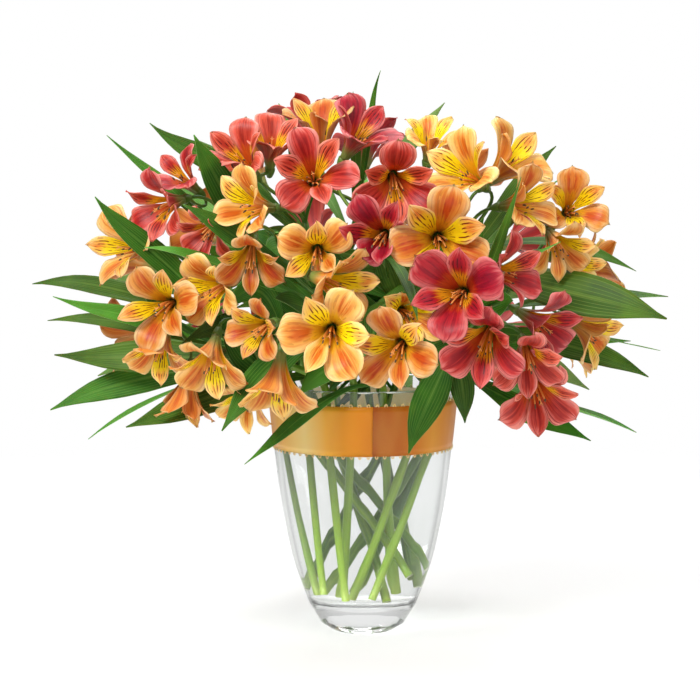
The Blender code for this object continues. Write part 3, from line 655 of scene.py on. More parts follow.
def add_leaf(shells, leaf, draw):
    """A long leaf with waved edges, a shallow fold along its midrib and a tip that curls a little."""
    outline = NARROW_OUTLINE if leaf.width <= NARROW_WIDTH else LEAF_OUTLINE
    wave, ruffle = draw.uniform(0, 6), draw.uniform(*LEAF_RUFFLE)
    curl, sway = draw.uniform(-LEAF_CURL, LEAF_CURL), draw.uniform(-LEAF_SWAY, LEAF_SWAY)
    rows = []
    for share in np.linspace(0, 1, LEAF_ROWS):
        place, side, face = leaf.laid(share)
        half = max(np.interp(share, *zip(*outline)) * leaf.half, 1.3 * (1 - share))
        place = place + (face + side * 0.4) * curl * max(share - LEAF_CURL_START, 0) ** 2
        place = place + side * sway * math.sin(5 * share) * share
        row = []
        for u in np.linspace(-1, 1, LEAF_COLUMNS):
            edge = 4 * share * (1 - share) * ruffle * abs(u) ** 1.5
            lift = 0.1 * half * u * u - 0.25 * (1 - abs(u)) + edge * math.sin(8 * share + wave + 1.2 * u)
            row.append(place + side * half * u + face * lift)
        rows.append(row)
    shells.blade(rows, LEAF_THICKNESS, draw.random(), ON_LEAF, ON_LEAF_BACK)


for row in LEAVES:
    stem = row[0]
    corners = corners_of("stem_" + stem)
    way = chosen(LEAF_WAYS, lambda way: Leaf(stem_paths[stem], row, way).corners(), corners)
    add_leaf(stems[stem], Leaf(stem_paths[stem], row, way), draw)

# Smaller leaves that fill the inside of the bouquet, where they show dark between the blooms
for stem in STEMS:
    for i in range(INNER_LEAVES):
        turn, rise = draw.uniform(0, 2 * math.pi), draw.uniform(-0.5, 1)
        far = Vector((math.cos(turn), math.sin(turn), rise)).normalized() * draw.uniform(0.75, 1)
        tip = Vector(INNER_CENTRE) + Vector(reach * part for reach, part in zip(INNER_REACH, far))
        low, high = INNER_SHARES
        share = low + (high - low) * (i + draw.random()) / INNER_LEAVES
        row = (stem, share, tip, draw.uniform(14, 22), draw.uniform(4, 16))
        way = (1, 1, 0, 0, draw.uniform(-INNER_TURN, INNER_TURN))
        add_leaf(stems[stem], Leaf(stem_paths[stem], row, way), draw)


# The blooms: funnels of six tepals round thin stamens, three broad outer tepals and three narrower
# inner ones with dark streaks. Each grows from a small ribbed ovary at the end of its stalk.
ORANGE = "orange"
CORAL = "coral"

# Each bloom: its colour and stem, its mouth, the turn, tilt and roll of its face, its size if it isn't
# 1, and how far it is open if it isn't fully
BLOOMS = {
    "o_01": (ORANGE, "far_left", (-178, -90, 303), (-48, 8, 35)),
    "o_02": (ORANGE, "far_left", (-146, -138, 262), (-15, 0, 45)),
    "o_03": (ORANGE, "far_left", (-149, -123, 226), (-20, -42, 0), 0.8),
    "o_04": (ORANGE, "low_left", (-111, -138, 273), (-35, -8, 20), 0.85),
    "o_05": (ORANGE, "low_left", (-111, -142, 218), (-15, -46, 10), 0.9),
    "o_06": (ORANGE, "low_left", (-75, -173, 248), (-30, -8, -20), 0.7),
    "o_07": (ORANGE, "left_inner", (-85, -137, 333), (-45, 5, 0), 0.88),
    "o_08": (ORANGE, "left_inner", (-80, -160, 294), (-5, -35, 0), 0.8),
    "o_09": (ORANGE, "left_inner", (-33, -167, 299), (0, -8, 60), 0.9),
    "o_10": (ORANGE, "centre", (-15, -178, 279), (48, -10, -20), 0.95),
    "o_11": (ORANGE, "centre", (-25, -198, 247), (-4, -2, -30), 1.06),
    "o_12": (ORANGE, "centre", (-63, -150, 200), (-20, -68, 0), 0.95, 0.9),
    "o_13": (ORANGE, "centre", (20, -191, 235), (-14, -6, 15), 0.95),
    "o_14": (ORANGE, "top", (-32, -50, 396), (-4, 74, 0), 0.95, 0.9),
    "o_15": (ORANGE, "right_top", (70, -102, 358), (-35, 22, 10)),
    "o_16": (ORANGE, "right_top", (116, -52, 367), (58, 36, 0), 1.05, 0.95),
    "o_17": (ORANGE, "right_top", (52, -172, 312), (0, 2, -15), 1.1, 1.05),
    "o_18": (ORANGE, "right_top", (122, -86, 334), (50, 8, 0), 0.85),
    "o_19": (ORANGE, "right", (156, -59, 331), (8, 16, 0), 0.85),
    "o_20": (ORANGE, "right", (159, -48, 281), (46, -24, 0), 0.8),
    "o_21": (ORANGE, "top", (50, -62, 382), (14, 60, 0), 0.7),
    "r_01": (CORAL, "left_red", (-150, -94, 331), (-40, -10, 0), 0.85),
    "r_02": (CORAL, "left_red", (-113, -121, 313), (-28, -24, 0), 0.66),
    "r_03": (CORAL, "left_top", (-92, -94, 369), (-30, 32, 0), 0.88),
    "r_04": (CORAL, "left_top", (-36, -131, 357), (0, 16, 20), 1.0, 1.05),
    "r_05": (CORAL, "centre_red", (0, -72, 388), (42, 46, 0), 0.95, 0.9),
    "r_06": (CORAL, "centre_red", (23, -140, 347), (5, -14, 0)),
    "r_07": (CORAL, "centre_red", (10, -171, 313), (-10, 0, 30), 0.95),
    "r_08": (CORAL, "right_red", (62, -184, 276), (-14, 6, 50), 1.08),
    "r_09": (CORAL, "right_red", (105, -137, 286), (42, 6, 0), 0.85),
    "r_10": (CORAL, "right_red", (81, -171, 236), (-18, -22, 0), 1.02),
    "r_11": (CORAL, "right_red", (133, -114, 244), (48, -22, 0), 0.9),
    "r_12": (CORAL, "right_red", (117, -140, 221), (6, -30, 0), 0.85),
    "b_01": (ORANGE, "back_right", (172, 32, 222), (104, -8, 0)),
    "b_02": (CORAL, "back_right", (112, 116, 218), (140, -10, 0)),
    "b_03": (ORANGE, "back", (4, 156, 214), (178, -12, 0), 1.05),
    "b_04": (CORAL, "back_left", (-116, 112, 220), (216, -10, 0)),
    "b_05": (ORANGE, "back_left", (-190, 22, 226), (262, -8, 0), 0.95),
    "b_06": (CORAL, "back_right", (136, 74, 304), (124, 16, 0)),
    "b_07": (ORANGE, "back", (52, 134, 312), (156, 16, 0), 1.05),
    "b_08": (CORAL, "back", (-44, 138, 306), (194, 16, 0)),
    "b_09": (ORANGE, "back_left", (-132, 92, 308), (232, 16, 0)),
    "b_10": (CORAL, "top", (4, 76, 382), (172, 52, 0)),
}

# The second blooms, on stalks that branch from under the first ones
SIDE_BLOOMS = {
    "o_03": ((-130, -110, 189), (-24, -72, 0), 0.8, 0.5),
    "o_05": ((-88, -113, 188), (-30, -46, 0), 0.75, 0.9),
    "o_13": ((32, -156, 258), (14, 0, 0), 0.85),
    "o_19": ((145, -86, 299), (26, -34, 0), 0.78),
    "o_20": ((175, -56, 234), (66, -26, 0), 0.85),
    "r_01": ((-136, -70, 354), (-44, 34, 0), 0.72),
    "r_03": ((-67, -79, 380), (8, 54, 0), 0.82),
    "r_12": ((128, -112, 192), (12, -34, 0), 0.98),
    "b_01": ((186, 16, 286), (96, 18, 0), 0.95),
    "b_04": ((-66, 148, 250), (206, 0, 0), 0.95),
    "b_05": ((-186, 10, 290), (268, 18, 0), 0.95),
    "b_07": ((84, 92, 356), (142, 44, 0), 0.95),
    "b_09": ((-92, 78, 364), (218, 44, 0), 0.95),
    "b_10": ((-42, 18, 402), (220, 76, 0), 0.95),
}
BLOOM_DEPTH = 42.0
OVARY_BASE = 1.8
OVARY_TOP = 3.6
OVARY_LENGTH = 9.0
OUTER_LENGTH = 50.0
OUTER_STATIONS = ((0.34, 3.5, 0.3), (0.66, 11.5, 0.22), (0.88, 10.0, 0.08))
OUTER_LEAN = (14, 74, 1.6)
INNER_LENGTH = 50.0
INNER_STATIONS = ((0.45, 2.9, 0.3), (0.8, 7.4, 0.25))
INNER_LEAN = (9, 54, 1.5)
MIDRIB_STEPS = 12
TEPAL_FACE = 0.45
STALK_RADIUS = 1.3
SIDE_STALK_RADIUS = 1.1
STALK_GAP = 0.9
STALK_STEPS = 3
STALK_TOP = 0.985
STALK_STEP = 0.012
STALK_POINTS = 12
STALK_SIDES = 9

# The ways in which a solid tepal may have been shortened, opened and swung aside to keep clear, and
# those in which a stalk may have been bowed
TEPAL_WAYS = tuple(itertools.product(
    (1.0, 0.87, 0.74, 0.6, 0.46, 0.36), (1.0, 0.8, 1.25, 0.6, 1.5, 0.4, 0.2), (0, 9, -9, 18, -18)
))
STALK_BOWS = sorted(
    itertools.product((0, 7, -7, 14, -14, 21, -21), repeat=2), key=lambda bow: abs(bow[0]) + abs(bow[1])
)

# The drawn tepals' outlines, as (share of the length, half the width), and how they cup
OUTER_OUTLINE = (
    (0, 2.6), (0.2, 3.4), (0.34, 4.9), (0.5, 8.6), (0.66, 12.4), (0.78, 14.0), (0.88, 12.8), (0.95, 8.4),
    (1, 0.8),
)
INNER_OUTLINE = (
    (0, 2.4), (0.3, 3.0), (0.45, 4.4), (0.6, 7.0), (0.72, 8.7), (0.82, 7.8), (0.9, 5.2), (0.96, 2.4),
    (1, 0.4),
)
CUPS = ((0, 0.5), (0.34, 0.32), (0.66, 0.22), (0.88, 0.1), (1, 0.0))
TEPAL_ROWS = 22
TEPAL_COLUMNS = 13
TEPAL_THICKNESS = 0.5
TEPAL_GROWTH = 1.04
TEPAL_BREADTH = (0.88, 1.06)
TEPAL_NOTCH = (0.5, 3.2)
TEPAL_RUFFLE = (1.0, 2.6)
TEPAL_CRIMP = (0.5, 1.8)
TEPAL_TWIST = (-0.45, 0.45)
TEPAL_LEAN = (-2, 2)
TEPAL_CURVE = (-0.45, 0.15)
TEPAL_RECURVE = (0, 60)
WAVED_FROM = 0.35
BENT_FROM = 0.72
NOTCHED_FROM = 0.82
OVARY_SWELL = (OVARY_BASE, 2.5, 3.1, 3.5, 3.7, 2.6)
OVARY_RIB = 1.12
OVARY_SIDES = 18
STAMEN_REACH = (22, 32)
STAMEN_SPREAD = (1.5, 5)
STAMEN_STRAY = (-14, 14)
STAMEN_RADII = (0.65,) * 7 + (0.35,)
ANTHER = ((-1.2, 0.2), (-0.9, 0.5), (0, 0.65), (1.0, 0.5), (1.4, 0.15))
STYLE_REACH = 33
STYLE_RADII = (0.5,) * 8 + (0.4,)
STYLE_ARMS = (90, 210, 330)
STYLE_ARM_RADII = (0.4, 0.32, 0.15)
SPECKS = 400
ON_OUTER, ON_INNER, ON_BACK, ON_OVARY, ON_FILAMENT, ON_ANTHER = range(6)


def stalk_path(start, along, base, out, bow, steps):
    """A stalk that leaves its stem along it and comes into its bloom from behind."""
    reach = (base - start).length
    across = along.cross(out)
    if across.length < 0.05:
        across = along.orthogonal()
    across.normalize()
    lift = across.cross((base - start).normalized())
    aside = across * bow[0] + lift * bow[1]
    first = start + along * reach * 0.3 + aside
    second = base - out * reach * 0.4 + aside
    return [bezier(start, first, second, base, i / steps) for i in range(steps)] + [base]


class Bloom:
    """A bloom's place, and the directions out of its mouth, to the right and up as seen from its front.

    Its six tepals are numbered round it, and the odd ones are the outer.
    """

    def __init__(self, mouth, angles, size=1.0, opening=1.0):
        turn, tilt = math.radians(angles[0]), math.radians(angles[1])
        self.roll = angles[2]
        self.size, self.opening = size, opening
        level = math.cos(tilt)
        self.out = Vector((math.sin(turn) * level, -math.cos(turn) * level, math.sin(tilt)))
        self.right = Vector((math.cos(turn), math.sin(turn), 0))
        self.up = self.out.cross(self.right)
        self.base = Vector(mouth) - self.out * BLOOM_DEPTH * self.size

    def radial(self, degrees):
        angle = math.radians(degrees + self.roll)
        return self.right * math.cos(angle) + self.up * math.sin(angle)

    def point(self, radius, degrees, depth):
        return self.base + self.radial(degrees) * radius + self.out * depth

    def midrib(self, length, lean, opening, share):
        """Radius, depth and lean of a tepal's midrib at a share of its length."""
        start, end, power = lean
        spread = (end - start) * opening * self.opening
        steps = (np.arange(MIDRIB_STEPS) + 0.5) / MIDRIB_STEPS
        angles = np.radians(start + spread * (share * steps) ** power)
        radius = OVARY_TOP - 0.4 + float(np.sin(angles).sum()) * length * share / MIDRIB_STEPS
        depth = OVARY_LENGTH + float(np.cos(angles).sum()) * length * share / MIDRIB_STEPS
        return radius, depth, math.radians(start + spread * share**power)

    def laid(self, number, way, share):
        """A tepal's midrib place, and its sideways and upper directions, at a share of its length."""
        size, opening, swing = way
        outer = number % 2 == 1
        length = (OUTER_LENGTH if outer else INNER_LENGTH) * size * self.size
        radius, depth, angle = self.midrib(length, OUTER_LEAN if outer else INNER_LEAN, opening, share)
        outward = self.radial(30 + 60 * number + swing * share)
        face = self.out * math.sin(angle) - outward * math.cos(angle)
        return self.base + outward * radius + self.out * depth, self.out.cross(outward), face

    def corners(self, number, way):
        """The corners of the plain solid tepal at each of its stations, and its tip."""
        yield self.laid(number, way, 1.0)[0]
        for share, half, cup in OUTER_STATIONS if number % 2 == 1 else INNER_STATIONS:
            half = half * way[0] ** 0.5 * self.size
            yield from section(*self.laid(number, way, share), half, cup, TEPAL_FACE)

    def tepal_rows(self, number, way, draw):
        """Rows of points over a tepal, cupped and with a soft wave along its edges."""
        outline = OUTER_OUTLINE if number % 2 == 1 else INNER_OUTLINE
        broad = way[0] ** 0.5 * self.size * draw.uniform(*TEPAL_BREADTH)
        notch = draw.uniform(*TEPAL_NOTCH) if number % 2 == 1 else 0
        wave, ruffle = draw.uniform(0, 6), draw.uniform(*TEPAL_RUFFLE)
        lean, curve, recurve = (draw.uniform(*ends) for ends in (TEPAL_LEAN, TEPAL_CURVE, TEPAL_RECURVE))
        twist, crimp = draw.uniform(*TEPAL_TWIST), draw.uniform(*TEPAL_CRIMP)
        rows = []
        for share in np.linspace(0, 1, TEPAL_ROWS):
            place, side, face = self.laid(number, way, share * TEPAL_GROWTH)
            cos, sin = math.cos(twist * share), math.sin(twist * share)
            side, face = side * cos + face * sin, face * cos - side * sin
            half = float(np.interp(share, *zip(*outline))) * broad
            live = max(share - WAVED_FROM, 0)
            cup = float(np.interp(share, *zip(*CUPS))) + curve * live
            tip = recurve * max(share - BENT_FROM, 0) ** 2
            ahead = face.cross(side) * notch * max(share - NOTCHED_FROM, 0) / (1 - NOTCHED_FROM)
            row = []
            for u in np.linspace(1, -1, TEPAL_COLUMNS):
                rise = math.sin(8 * share + wave + 2.2 * u)
                lift = cup * half * u * u + ruffle * live * abs(u) ** 1.5 * rise
                lift += lean * live * u - 1.2 * (1 - abs(u)) ** 2 * live - tip
                lift += crimp * live * u**4 * math.sin(21 * share + 2 * wave + u)
                row.append(place + side * half * u + face * lift + ahead * (abs(u) - 0.25))
            rows.append(row)
        return rows


def add_bloom(shells, bloom, ways, draw, tone):
    """Puts a bloom's ovary, tepals, stamens and style into its piece."""
    count, sides = len(OVARY_SWELL), OVARY_SIDES
    ovary = [bloom.point(0, 0, depth) for depth in np.linspace(0, OVARY_LENGTH + 1, count)]
    rings = tube_rings(ovary, OVARY_SWELL, sides)
    for ring, place in zip(rings, ovary):
        for k in range(0, sides, 3):
            ring[k] = place + (ring[k] - place) * OVARY_RIB
    last = (count - 1) * sides
    faces = ring_quads(count, sides) + [tuple(range(sides)), tuple(range(last, last + sides))]
    uvs = [(k / sides, i / (count - 1)) for i in range(count) for k in range(sides)]
    shells.add(list(itertools.chain(*rings)), faces, uvs, tone, ON_OVARY)
    for number in range(6):
        rows = bloom.tepal_rows(number, ways[number], draw)
        shade = min(max(tone + draw.uniform(-0.15, 0.15), 0), 1)
        plain = number % 2 == 1 or number == 4 and draw.random() < 0.5
        shells.blade(rows, TEPAL_THICKNESS, shade, ON_OUTER if plain else ON_INNER, ON_BACK)
    for number in range(6):
        degrees = 60 * number + draw.uniform(*STAMEN_STRAY)
        reach = draw.uniform(*STAMEN_REACH) * bloom.size
        spread = draw.uniform(*STAMEN_SPREAD) * bloom.size
        path = []
        for share in np.linspace(0, 1, len(STAMEN_RADII)):
            place = bloom.point(1.2 + spread * share**1.4, degrees, OVARY_LENGTH + reach * share)
            path.append(place + Vector((0, 0, -5 * share * share * bloom.size)))
        shells.tube(path, STAMEN_RADII, 6, tone, ON_FILAMENT)
        along = (path[-1] - path[-2]).normalized() * 1.1 + Vector((0, 0, draw.uniform(-0.6, 1)))
        pod = [path[-1] + along * step for step, _ in ANTHER]
        shells.tube(pod, [radius for _, radius in ANTHER], 8, draw.random(), ON_ANTHER)
    style = []
    for share in np.linspace(0, 1, len(STYLE_RADII)):
        place = bloom.point(1.5 * share, 90, OVARY_LENGTH + STYLE_REACH * bloom.size * share)
        style.append(place + Vector((0, 0, -3 * share * share)))
    shells.tube(style, STYLE_RADII, 6, tone, ON_FILAMENT)
    for degrees in STYLE_ARMS:
        end = style[-1] + (style[-1] - style[-2]).normalized() * 2.2 + bloom.radial(degrees) * 1.6
        shells.tube([style[-1], style[-1].lerp(end, 0.5), end], STYLE_ARM_RADII, 5, tone, ON_FILAMENT)


PETAL_FLESH = {"Subsurface Weight": 0.25, "Subsurface Radius": (1, 0.6, 0.3), "Subsurface Scale": 0.002}


def tepal_material(name, throat, body, pale, edge, flame, streak, flamed, veined, streaked, gold):
    """A tepal's upper face: a throat, a body that pales to its edge, a flame and dark broken streaks."""
    finish = Finish(name, {"Roughness": 0.4, "Specular IOR Level": 0.28, **PETAL_FLESH})
    side = finish.math("MULTIPLY_ADD", finish.across, 2, -1)
    ragged = finish.math("MULTIPLY_ADD", finish.grain(9, 1.5), 0.3, -0.15)
    along = finish.math("ADD", finish.along, ragged)
    colour = finish.mix(finish.step(along, 0.0, 0.2), (0.30, 0.38, 0.05), throat)
    body = finish.mix(finish.tone, body, pale)
    colour = finish.mix(finish.step(along, gold, gold + 0.18), colour, body)
    soft = finish.math("ADD", finish.spread, finish.math("MULTIPLY_ADD", finish.grain(6, 4), 0.5, -0.25))
    rim = finish.times(finish.step(soft, 0.5, 0.98), finish.step(finish.along, gold - 0.06, gold + 0.18))
    top = finish.times(finish.step(along, 0.84, 1.0), 0.8)
    colour = finish.mix(finish.math("MAXIMUM", rim, top), colour, edge)
    fire = finish.times(
        finish.step(along, gold + 0.02, gold + 0.2),
        finish.step(along, 0.94, 0.76),
        finish.step(soft, 0.56, 0.16),
        finish.step(finish.grain(11, 1.0), 0.3, 0.52),
        flamed,
    )
    colour = finish.mix(fire, colour, flame)
    fine = finish.step(finish.grain(26, 0.7), 0.5, 0.68)
    fine = finish.times(fine, finish.step(finish.along, gold - 0.1, gold + 0.2), veined)
    colour = finish.mix(fine, colour, flame)
    lanes = finish.math("PINGPONG", finish.times(side, 3.1), 0.5)
    dashes = finish.times(
        finish.step(lanes, 0.3, 0.38),
        finish.step(finish.grain(7, 6), 0.45, 0.52),
        finish.step(finish.along, 0.3, 0.42),
        finish.step(finish.along, 0.92, 0.8),
        finish.step(finish.spread, 0.92, 0.74),
        streaked,
    )
    colour = finish.mix(dashes, colour, streak)
    tip = finish.times(finish.step(finish.along, 0.95, 0.99), finish.step(finish.spread, 0.4, 0.1))
    colour = finish.mix(tip, colour, (0.14, 0.16, 0.04))
    finish.bump(finish.grain(30, 1.4), 0.5, 0.0006)
    return finish.done(finish.varied(colour, 0.02, 0.4))


def tepal_back_material(name, body, edge, rib):
    finish = Finish(name, {"Roughness": 0.5, **PETAL_FLESH})
    colour = finish.mix(finish.step(finish.spread, 0.4, 0.9), body, edge)
    colour = finish.mix(finish.times(finish.step(finish.grain(22, 1), 0.42, 0.66), 0.6), colour, rib)
    keel = finish.times(finish.step(finish.spread, 0.3, 0.0), finish.step(finish.along, 1.0, 0.6))
    colour = finish.mix(finish.times(keel, 0.8), colour, rib)
    base = finish.step(finish.along, 0.4, 0.1)
    colour = finish.mix(base, colour, (0.22, 0.26, 0.05))
    finish.bump(finish.grain(26, 1.4), 0.5, 0.0006)
    return finish.done(finish.varied(colour, 0.016, 0.36))


ovary_green = speckled("ovary_green", (0.08, 0.19, 0.02), (0.17, 0.28, 0.05), SPECKS, {"Roughness": 0.4})
filament = speckled("filament", (0.75, 0.22, 0.05), (0.88, 0.45, 0.12), SPECKS, {"Roughness": 0.45})
anther = speckled("anther", (0.05, 0.03, 0.02), (0.17, 0.12, 0.06), SPECKS, {"Roughness": 0.7})
petal_finishes = {
    ORANGE: [
        tepal_material("orange_outer", (0.78, 0.40, 0.012), (0.73, 0.28, 0.022), (0.80, 0.42, 0.10),
                       (0.90, 0.60, 0.26), (0.56, 0.085, 0.004), (0.26, 0.02, 0.004), 0.95, 0.45, 0.3, 0.4),
        tepal_material("orange_inner", (0.92, 0.66, 0.005), (0.86, 0.46, 0.032), (0.90, 0.57, 0.14),
                       (0.92, 0.56, 0.24), (0.66, 0.09, 0.006), (0.18, 0.010, 0.002), 0.9, 0.55, 1.0, 0.66),
        tepal_back_material("orange_back", (0.76, 0.27, 0.032), (0.88, 0.47, 0.17), (0.54, 0.085, 0.006)),
    ],
    CORAL: [
        tepal_material("coral_outer", (0.58, 0.09, 0.012), (0.50, 0.018, 0.010), (0.64, 0.070, 0.050),
                       (0.82, 0.26, 0.22), (0.28, 0.003, 0.004), (0.13, 0.004, 0.005), 0.9, 0.75, 0.3, 0.4),
        tepal_material("coral_inner", (0.92, 0.46, 0.010), (0.60, 0.042, 0.014), (0.72, 0.12, 0.070),
                       (0.80, 0.24, 0.19), (0.34, 0.005, 0.005), (0.12, 0.004, 0.003), 0.85, 0.7, 1.0, 0.5),
        tepal_back_material("coral_back", (0.48, 0.024, 0.016), (0.70, 0.14, 0.11), (0.26, 0.004, 0.005)),
    ],
}

blooms = {name: Bloom(*row[2:]) for name, row in BLOOMS.items()}
blooms.update({name + "_side": Bloom(*row) for name, row in SIDE_BLOOMS.items()})
taken = dict.fromkeys(STEMS, 0)
draw = random.Random(11)
pieces = {name: Shells() for name in BLOOMS}
for name, bloom in blooms.items():
    main = name.removesuffix("_side")
    corners = corners_of("bloom_" + main)
    ways = [chosen(TEPAL_WAYS, lambda way: bloom.corners(number, way), corners) for number in range(6)]
    add_bloom(pieces[main], bloom, ways, draw, draw.random())
    stem = BLOOMS[main][1]
    if name == main:
        start, along = along_path(stem_paths[stem], STALK_TOP - STALK_STEP * taken[stem])
        taken[stem] += 1
        radius, overlap, holder = STALK_RADIUS, -STALK_GAP, corners_of("stem_" + stem)
    else:
        start = blooms[main].base + blooms[main].out * 3
        along = ((bloom.base - start).normalized() - blooms[main].out * 0.5).normalized()
        radius, overlap, holder = SIDE_STALK_RADIUS, 2, corners
    end = bloom.base + bloom.out * overlap

    def stalk_corners(bow):
        path = stalk_path(start, along, end, bloom.out, bow, STALK_STEPS)
        return itertools.chain(*tube_rings(path, [radius] * len(path), 3)[1:3])

    bow = chosen(STALK_BOWS, stalk_corners, holder)
    path = stalk_path(start, along, bloom.base + bloom.out * 0.6, bloom.out, bow, STALK_POINTS)
    radii = np.linspace(radius + 0.2, radius, len(path)).tolist()
    shells, slot = (stems[stem], ON_STEM) if name == main else (pieces[main], ON_OVARY)
    shells.tube(path, radii, STALK_SIDES, draw.random(), slot)

# The leafy stems are complete only here, because they carry the stalks of the blooms
for name, shells in stems.items():
    piece = shells.make("leafy_stem_" + name, [leaf_top, leaf_under, fresh_stem, cut_end])
    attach(piece, "root")
    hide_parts("stem_" + name)
for name, shells in pieces.items():
    colour = BLOOMS[name][0]
    piece = shells.make("open_bloom_" + name, [*petal_finishes[colour], ovary_green, filament, anther])
    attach(piece, "root")
    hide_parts("bloom_" + name)


# The ribbon: a strip of orange satin with looped edges, wrapped once round the vase under its rim.
# Its end laps over its start at the front, where painted shade makes the lap a darker fold. Its inside,
# seen through the glass, is paler, as a satin's back is, and painted paler still for the light that comes
# through it; it also lets some light through.
RIBBON_LOW = 144.0
RIBBON_WIDTH = 38.0
RIBBON_THICKNESS = 0.4
RIBBON_START = 255.0
RIBBON_END = 635.5
RIBBON_LAP = (600, 612)
RIBBON_PROUD = 0.45
RIBBON_RISE = 0.6
RIBBON_COLUMNS = 300
RIBBON_ROWS = 9
PICOT_STEP = 6.4
PICOT_HEIGHT = 2.0
PICOT_POINTS = 7
PICOT_THREAD = 0.45
THREADS = 400
ON_SATIN, ON_INSIDE = range(2)

# The satin's colour from its start round to its end: its orange dye, with painted shade at the lap and a
# painted highlight where it gleams
SATIN_DYE_AND_PAINTED_LIGHT = (
    (0.05, (0.30, 0.044, 0.001)), (0.08, (0.40, 0.072, 0.001)), (0.13, (0.60, 0.17, 0.002)),
    (0.165, (0.76, 0.30, 0.02)), (0.21, (0.66, 0.20, 0.006)), (0.78, (0.78, 0.27, 0.006)),
    (0.84, (1.0, 0.52, 0.12)), (0.885, (1.0, 0.68, 0.26)), (0.925, (1.0, 0.44, 0.05)),
    (0.955, (0.80, 0.28, 0.004)), (1.0, (0.68, 0.20, 0.002)),
)


def ribbon_point(degrees, share, proud=0.0):
    """A place on the ribbon's outer face, lying on the vase and over its own start."""
    height = RIBBON_LOW + RIBBON_WIDTH * share
    lap = RIBBON_RISE * float(np.interp(degrees, RIBBON_LAP, (0, 1)))
    angle = math.radians(degrees)
    ripple = 0.1 * math.sin(angle * 9) + 0.06 * math.sin(angle * 23 + 4 * share)
    radii, heights = zip(*outside)
    radius = panelled(float(np.interp(height, heights, radii)), degrees)
    radius = radius + RIBBON_PROUD + ripple + lap + proud
    return Vector((radius * math.cos(angle), radius * math.sin(angle), height))


def satin_material():
    sheen = {"Roughness": 0.34, "Specular IOR Level": 0.28, "Anisotropic": 0.5}
    soft = {"Subsurface Weight": 0.3, "Subsurface Radius": (1, 0.6, 0.2), "Subsurface Scale": 0.0015}
    finish = Finish("orange_satin", {**sheen, **soft})
    # The ramp gives the dye its painted shade at the lap and its painted highlight where the satin gleams
    ramp = finish.add("ValToRGB", finish.along)
    while len(ramp.color_ramp.elements) < len(SATIN_DYE_AND_PAINTED_LIGHT):
        ramp.color_ramp.elements.new(0.5)
    for element, (place, colour) in zip(ramp.color_ramp.elements, SATIN_DYE_AND_PAINTED_LIGHT):
        element.position = place
        element.color = (*colour, 1)
    # Broad bands along the ribbon are a painted sheen, lighter where the satin would gleam; the fine
    # threads are its weave
    painted_gleam_bands = finish.step(finish.grain(0.5, 24, detail=1), 0.4, 0.75)
    threads = finish.grain(190, 400, detail=1)
    body = finish.mix(finish.times(painted_gleam_bands, 0.2), ramp.outputs[0], (0.86, 0.44, 0.07))
    body = finish.mix(finish.times(threads, 0.12), body, (0.80, 0.42, 0.08))
    finish.bump(threads, 0.1, 0.0001)
    return finish.done(body)


strip = Shells()
shares = np.linspace(0, 1, RIBBON_ROWS)
turns = np.linspace(RIBBON_START, RIBBON_END, RIBBON_COLUMNS)
rows = [[ribbon_point(degrees, share) for share in shares] for degrees in turns]
strip.blade(rows, RIBBON_THICKNESS, 0.5, ON_INSIDE, ON_SATIN)
# The inside is a paler satin back, painted paler still to stand in for light coming through the ribbon
thin = {"Subsurface Weight": 0.6, "Subsurface Radius": (1, 0.7, 0.4), "Subsurface Scale": 0.003}
ribbon_back = speckled(
    "ribbon_back", (0.84, 0.66, 0.44), (0.90, 0.76, 0.56), THREADS, {"Roughness": 0.6, **thin}
)
ribbon = strip.make("satin_ribbon", [satin_material(), ribbon_back])
loops = Shells()
middle = math.radians(RIBBON_END - RIBBON_START) * (outer_radius(RIBBON_LOW + RIBBON_WIDTH / 2) + 0.8)
count = int(middle / PICOT_STEP)
for k in range(count):
    degrees = RIBBON_START + (RIBBON_END - RIBBON_START) * (k + 0.5) / count
    for share, way in ((0.0, -1), (1.0, 1)):
        arc = []
        for turn in np.linspace(0, math.pi, PICOT_POINTS):
            place = ribbon_point(degrees + 0.8 * math.cos(turn), share, 0.1)
            arc.append(place + Vector((0, 0, way * PICOT_HEIGHT * math.sin(turn) - way * 0.3)))
        loops.tube(arc, [PICOT_THREAD] * PICOT_POINTS, 6, 0.5, ON_SATIN)
loop_thread = speckled(
    "loop_thread", (0.80, 0.52, 0.16), (0.92, 0.72, 0.38), THREADS, {"Roughness": 0.5}
)
picots = loops.make("ribbon_loops", [loop_thread])
for piece in (ribbon, picots):
    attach(piece, "root")
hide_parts("ribbon")


# The setting: a plain pale floor that fades out, broad soft lamps above and to both sides, and the
# camera where the photograph was taken from, level with the blooms and looking a little down.
CAMERA_PLACE = (-0.010, -1.700, 0.374)
CAMERA_PITCH = 5.25
CAMERA_LENS = 113.5
FLOOR_CLEAR = 0.35
FLOOR_GONE = 1.1
ROOM_LIGHT = 0.53
ROOM_SIDES = 0.14
ROOM_TURN = (0.6, 0.9)
GLASS_LIFT = 0.32
LAMPS = (
    ((-1.0, -1.5, 1.6), 0.8, 46),
    ((1.4, -1.0, 1.0), 1.2, 9),
    ((0.2, 0.7, 1.9), 1.4, 24),
)

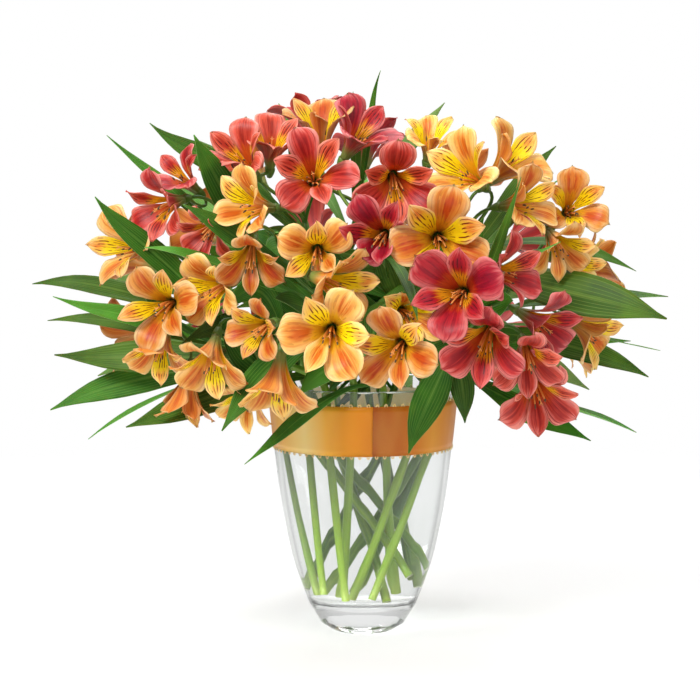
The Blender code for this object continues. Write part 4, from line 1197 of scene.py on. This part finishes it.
bpy.ops.object.select_all(action="DESELECT")
bpy.ops.mesh.primitive_plane_add(size=8, location=(0, 0, 0))
floor = bpy.context.active_object
floor.name = "pale_floor"
pale = Nodes(bpy.data.materials.new("pale_paper"))
place = pale.add("TexCoord").outputs["Object"]
distance = pale.add("VectorMath", place, operation="LENGTH").outputs["Value"]
fading = pale.add("MapRange", distance, FLOOR_CLEAR, FLOOR_GONE, interpolation_type="SMOOTHSTEP")
paper = pale.shade({"Base Color": (0.95, 0.95, 0.95), "Roughness": 0.8})
pale.blend(fading.outputs[0], paper, pale.add("BsdfTransparent").outputs[0])
floor.data.materials.append(pale.owner)

for place, size, power in LAMPS:
    lamp = bpy.data.lights.new("soft_lamp", "AREA")
    lamp.size = size
    lamp.energy = power
    holder = bpy.data.objects.new("soft_lamp", lamp)
    holder.location = place
    holder.rotation_euler = (Vector((0, 0, 0.25)) - Vector(place)).to_track_quat("-Z", "Y").to_euler()
    bpy.context.scene.collection.objects.link(holder)

bpy.context.scene.view_settings.view_transform = "Standard"

# The room lights from all round, less from its sides. It is brighter where it is seen through the glass,
# and plain white behind the object.
room = Nodes(bpy.data.worlds.new("bright_room"))
way = room.add("SeparateXYZ", room.add("TexCoord").outputs["Generated"])
aside = room.add("Math", way.outputs[0], operation="ABSOLUTE").outputs[0]
dim = (*ROOM_TURN, ROOM_LIGHT, ROOM_SIDES)
walls = room.add("MapRange", aside, *dim, interpolation_type="SMOOTHSTEP").outputs[0]
seen = room.add("LightPath").outputs
through = seen["Is Transmission Ray"]
lifted = room.add("Math", through, GLASS_LIFT, walls, operation="MULTIPLY_ADD")
strength = room.add("Math", seen["Is Camera Ray"], lifted.outputs[0], operation="MAXIMUM")
background = room.tree.nodes["Background"]
room.set(background.inputs["Color"], (1, 1, 1))
room.set(background.inputs["Strength"], strength.outputs[0])
bpy.context.scene.world = room.owner

lens = bpy.data.cameras.new("camera")
lens.lens = CAMERA_LENS
lens.sensor_width = 36
camera = bpy.data.objects.new("camera", lens)
camera.location = CAMERA_PLACE
camera.rotation_euler = (math.radians(90 - CAMERA_PITCH), 0, 0)
bpy.context.scene.collection.objects.link(camera)
bpy.context.scene.camera = camera
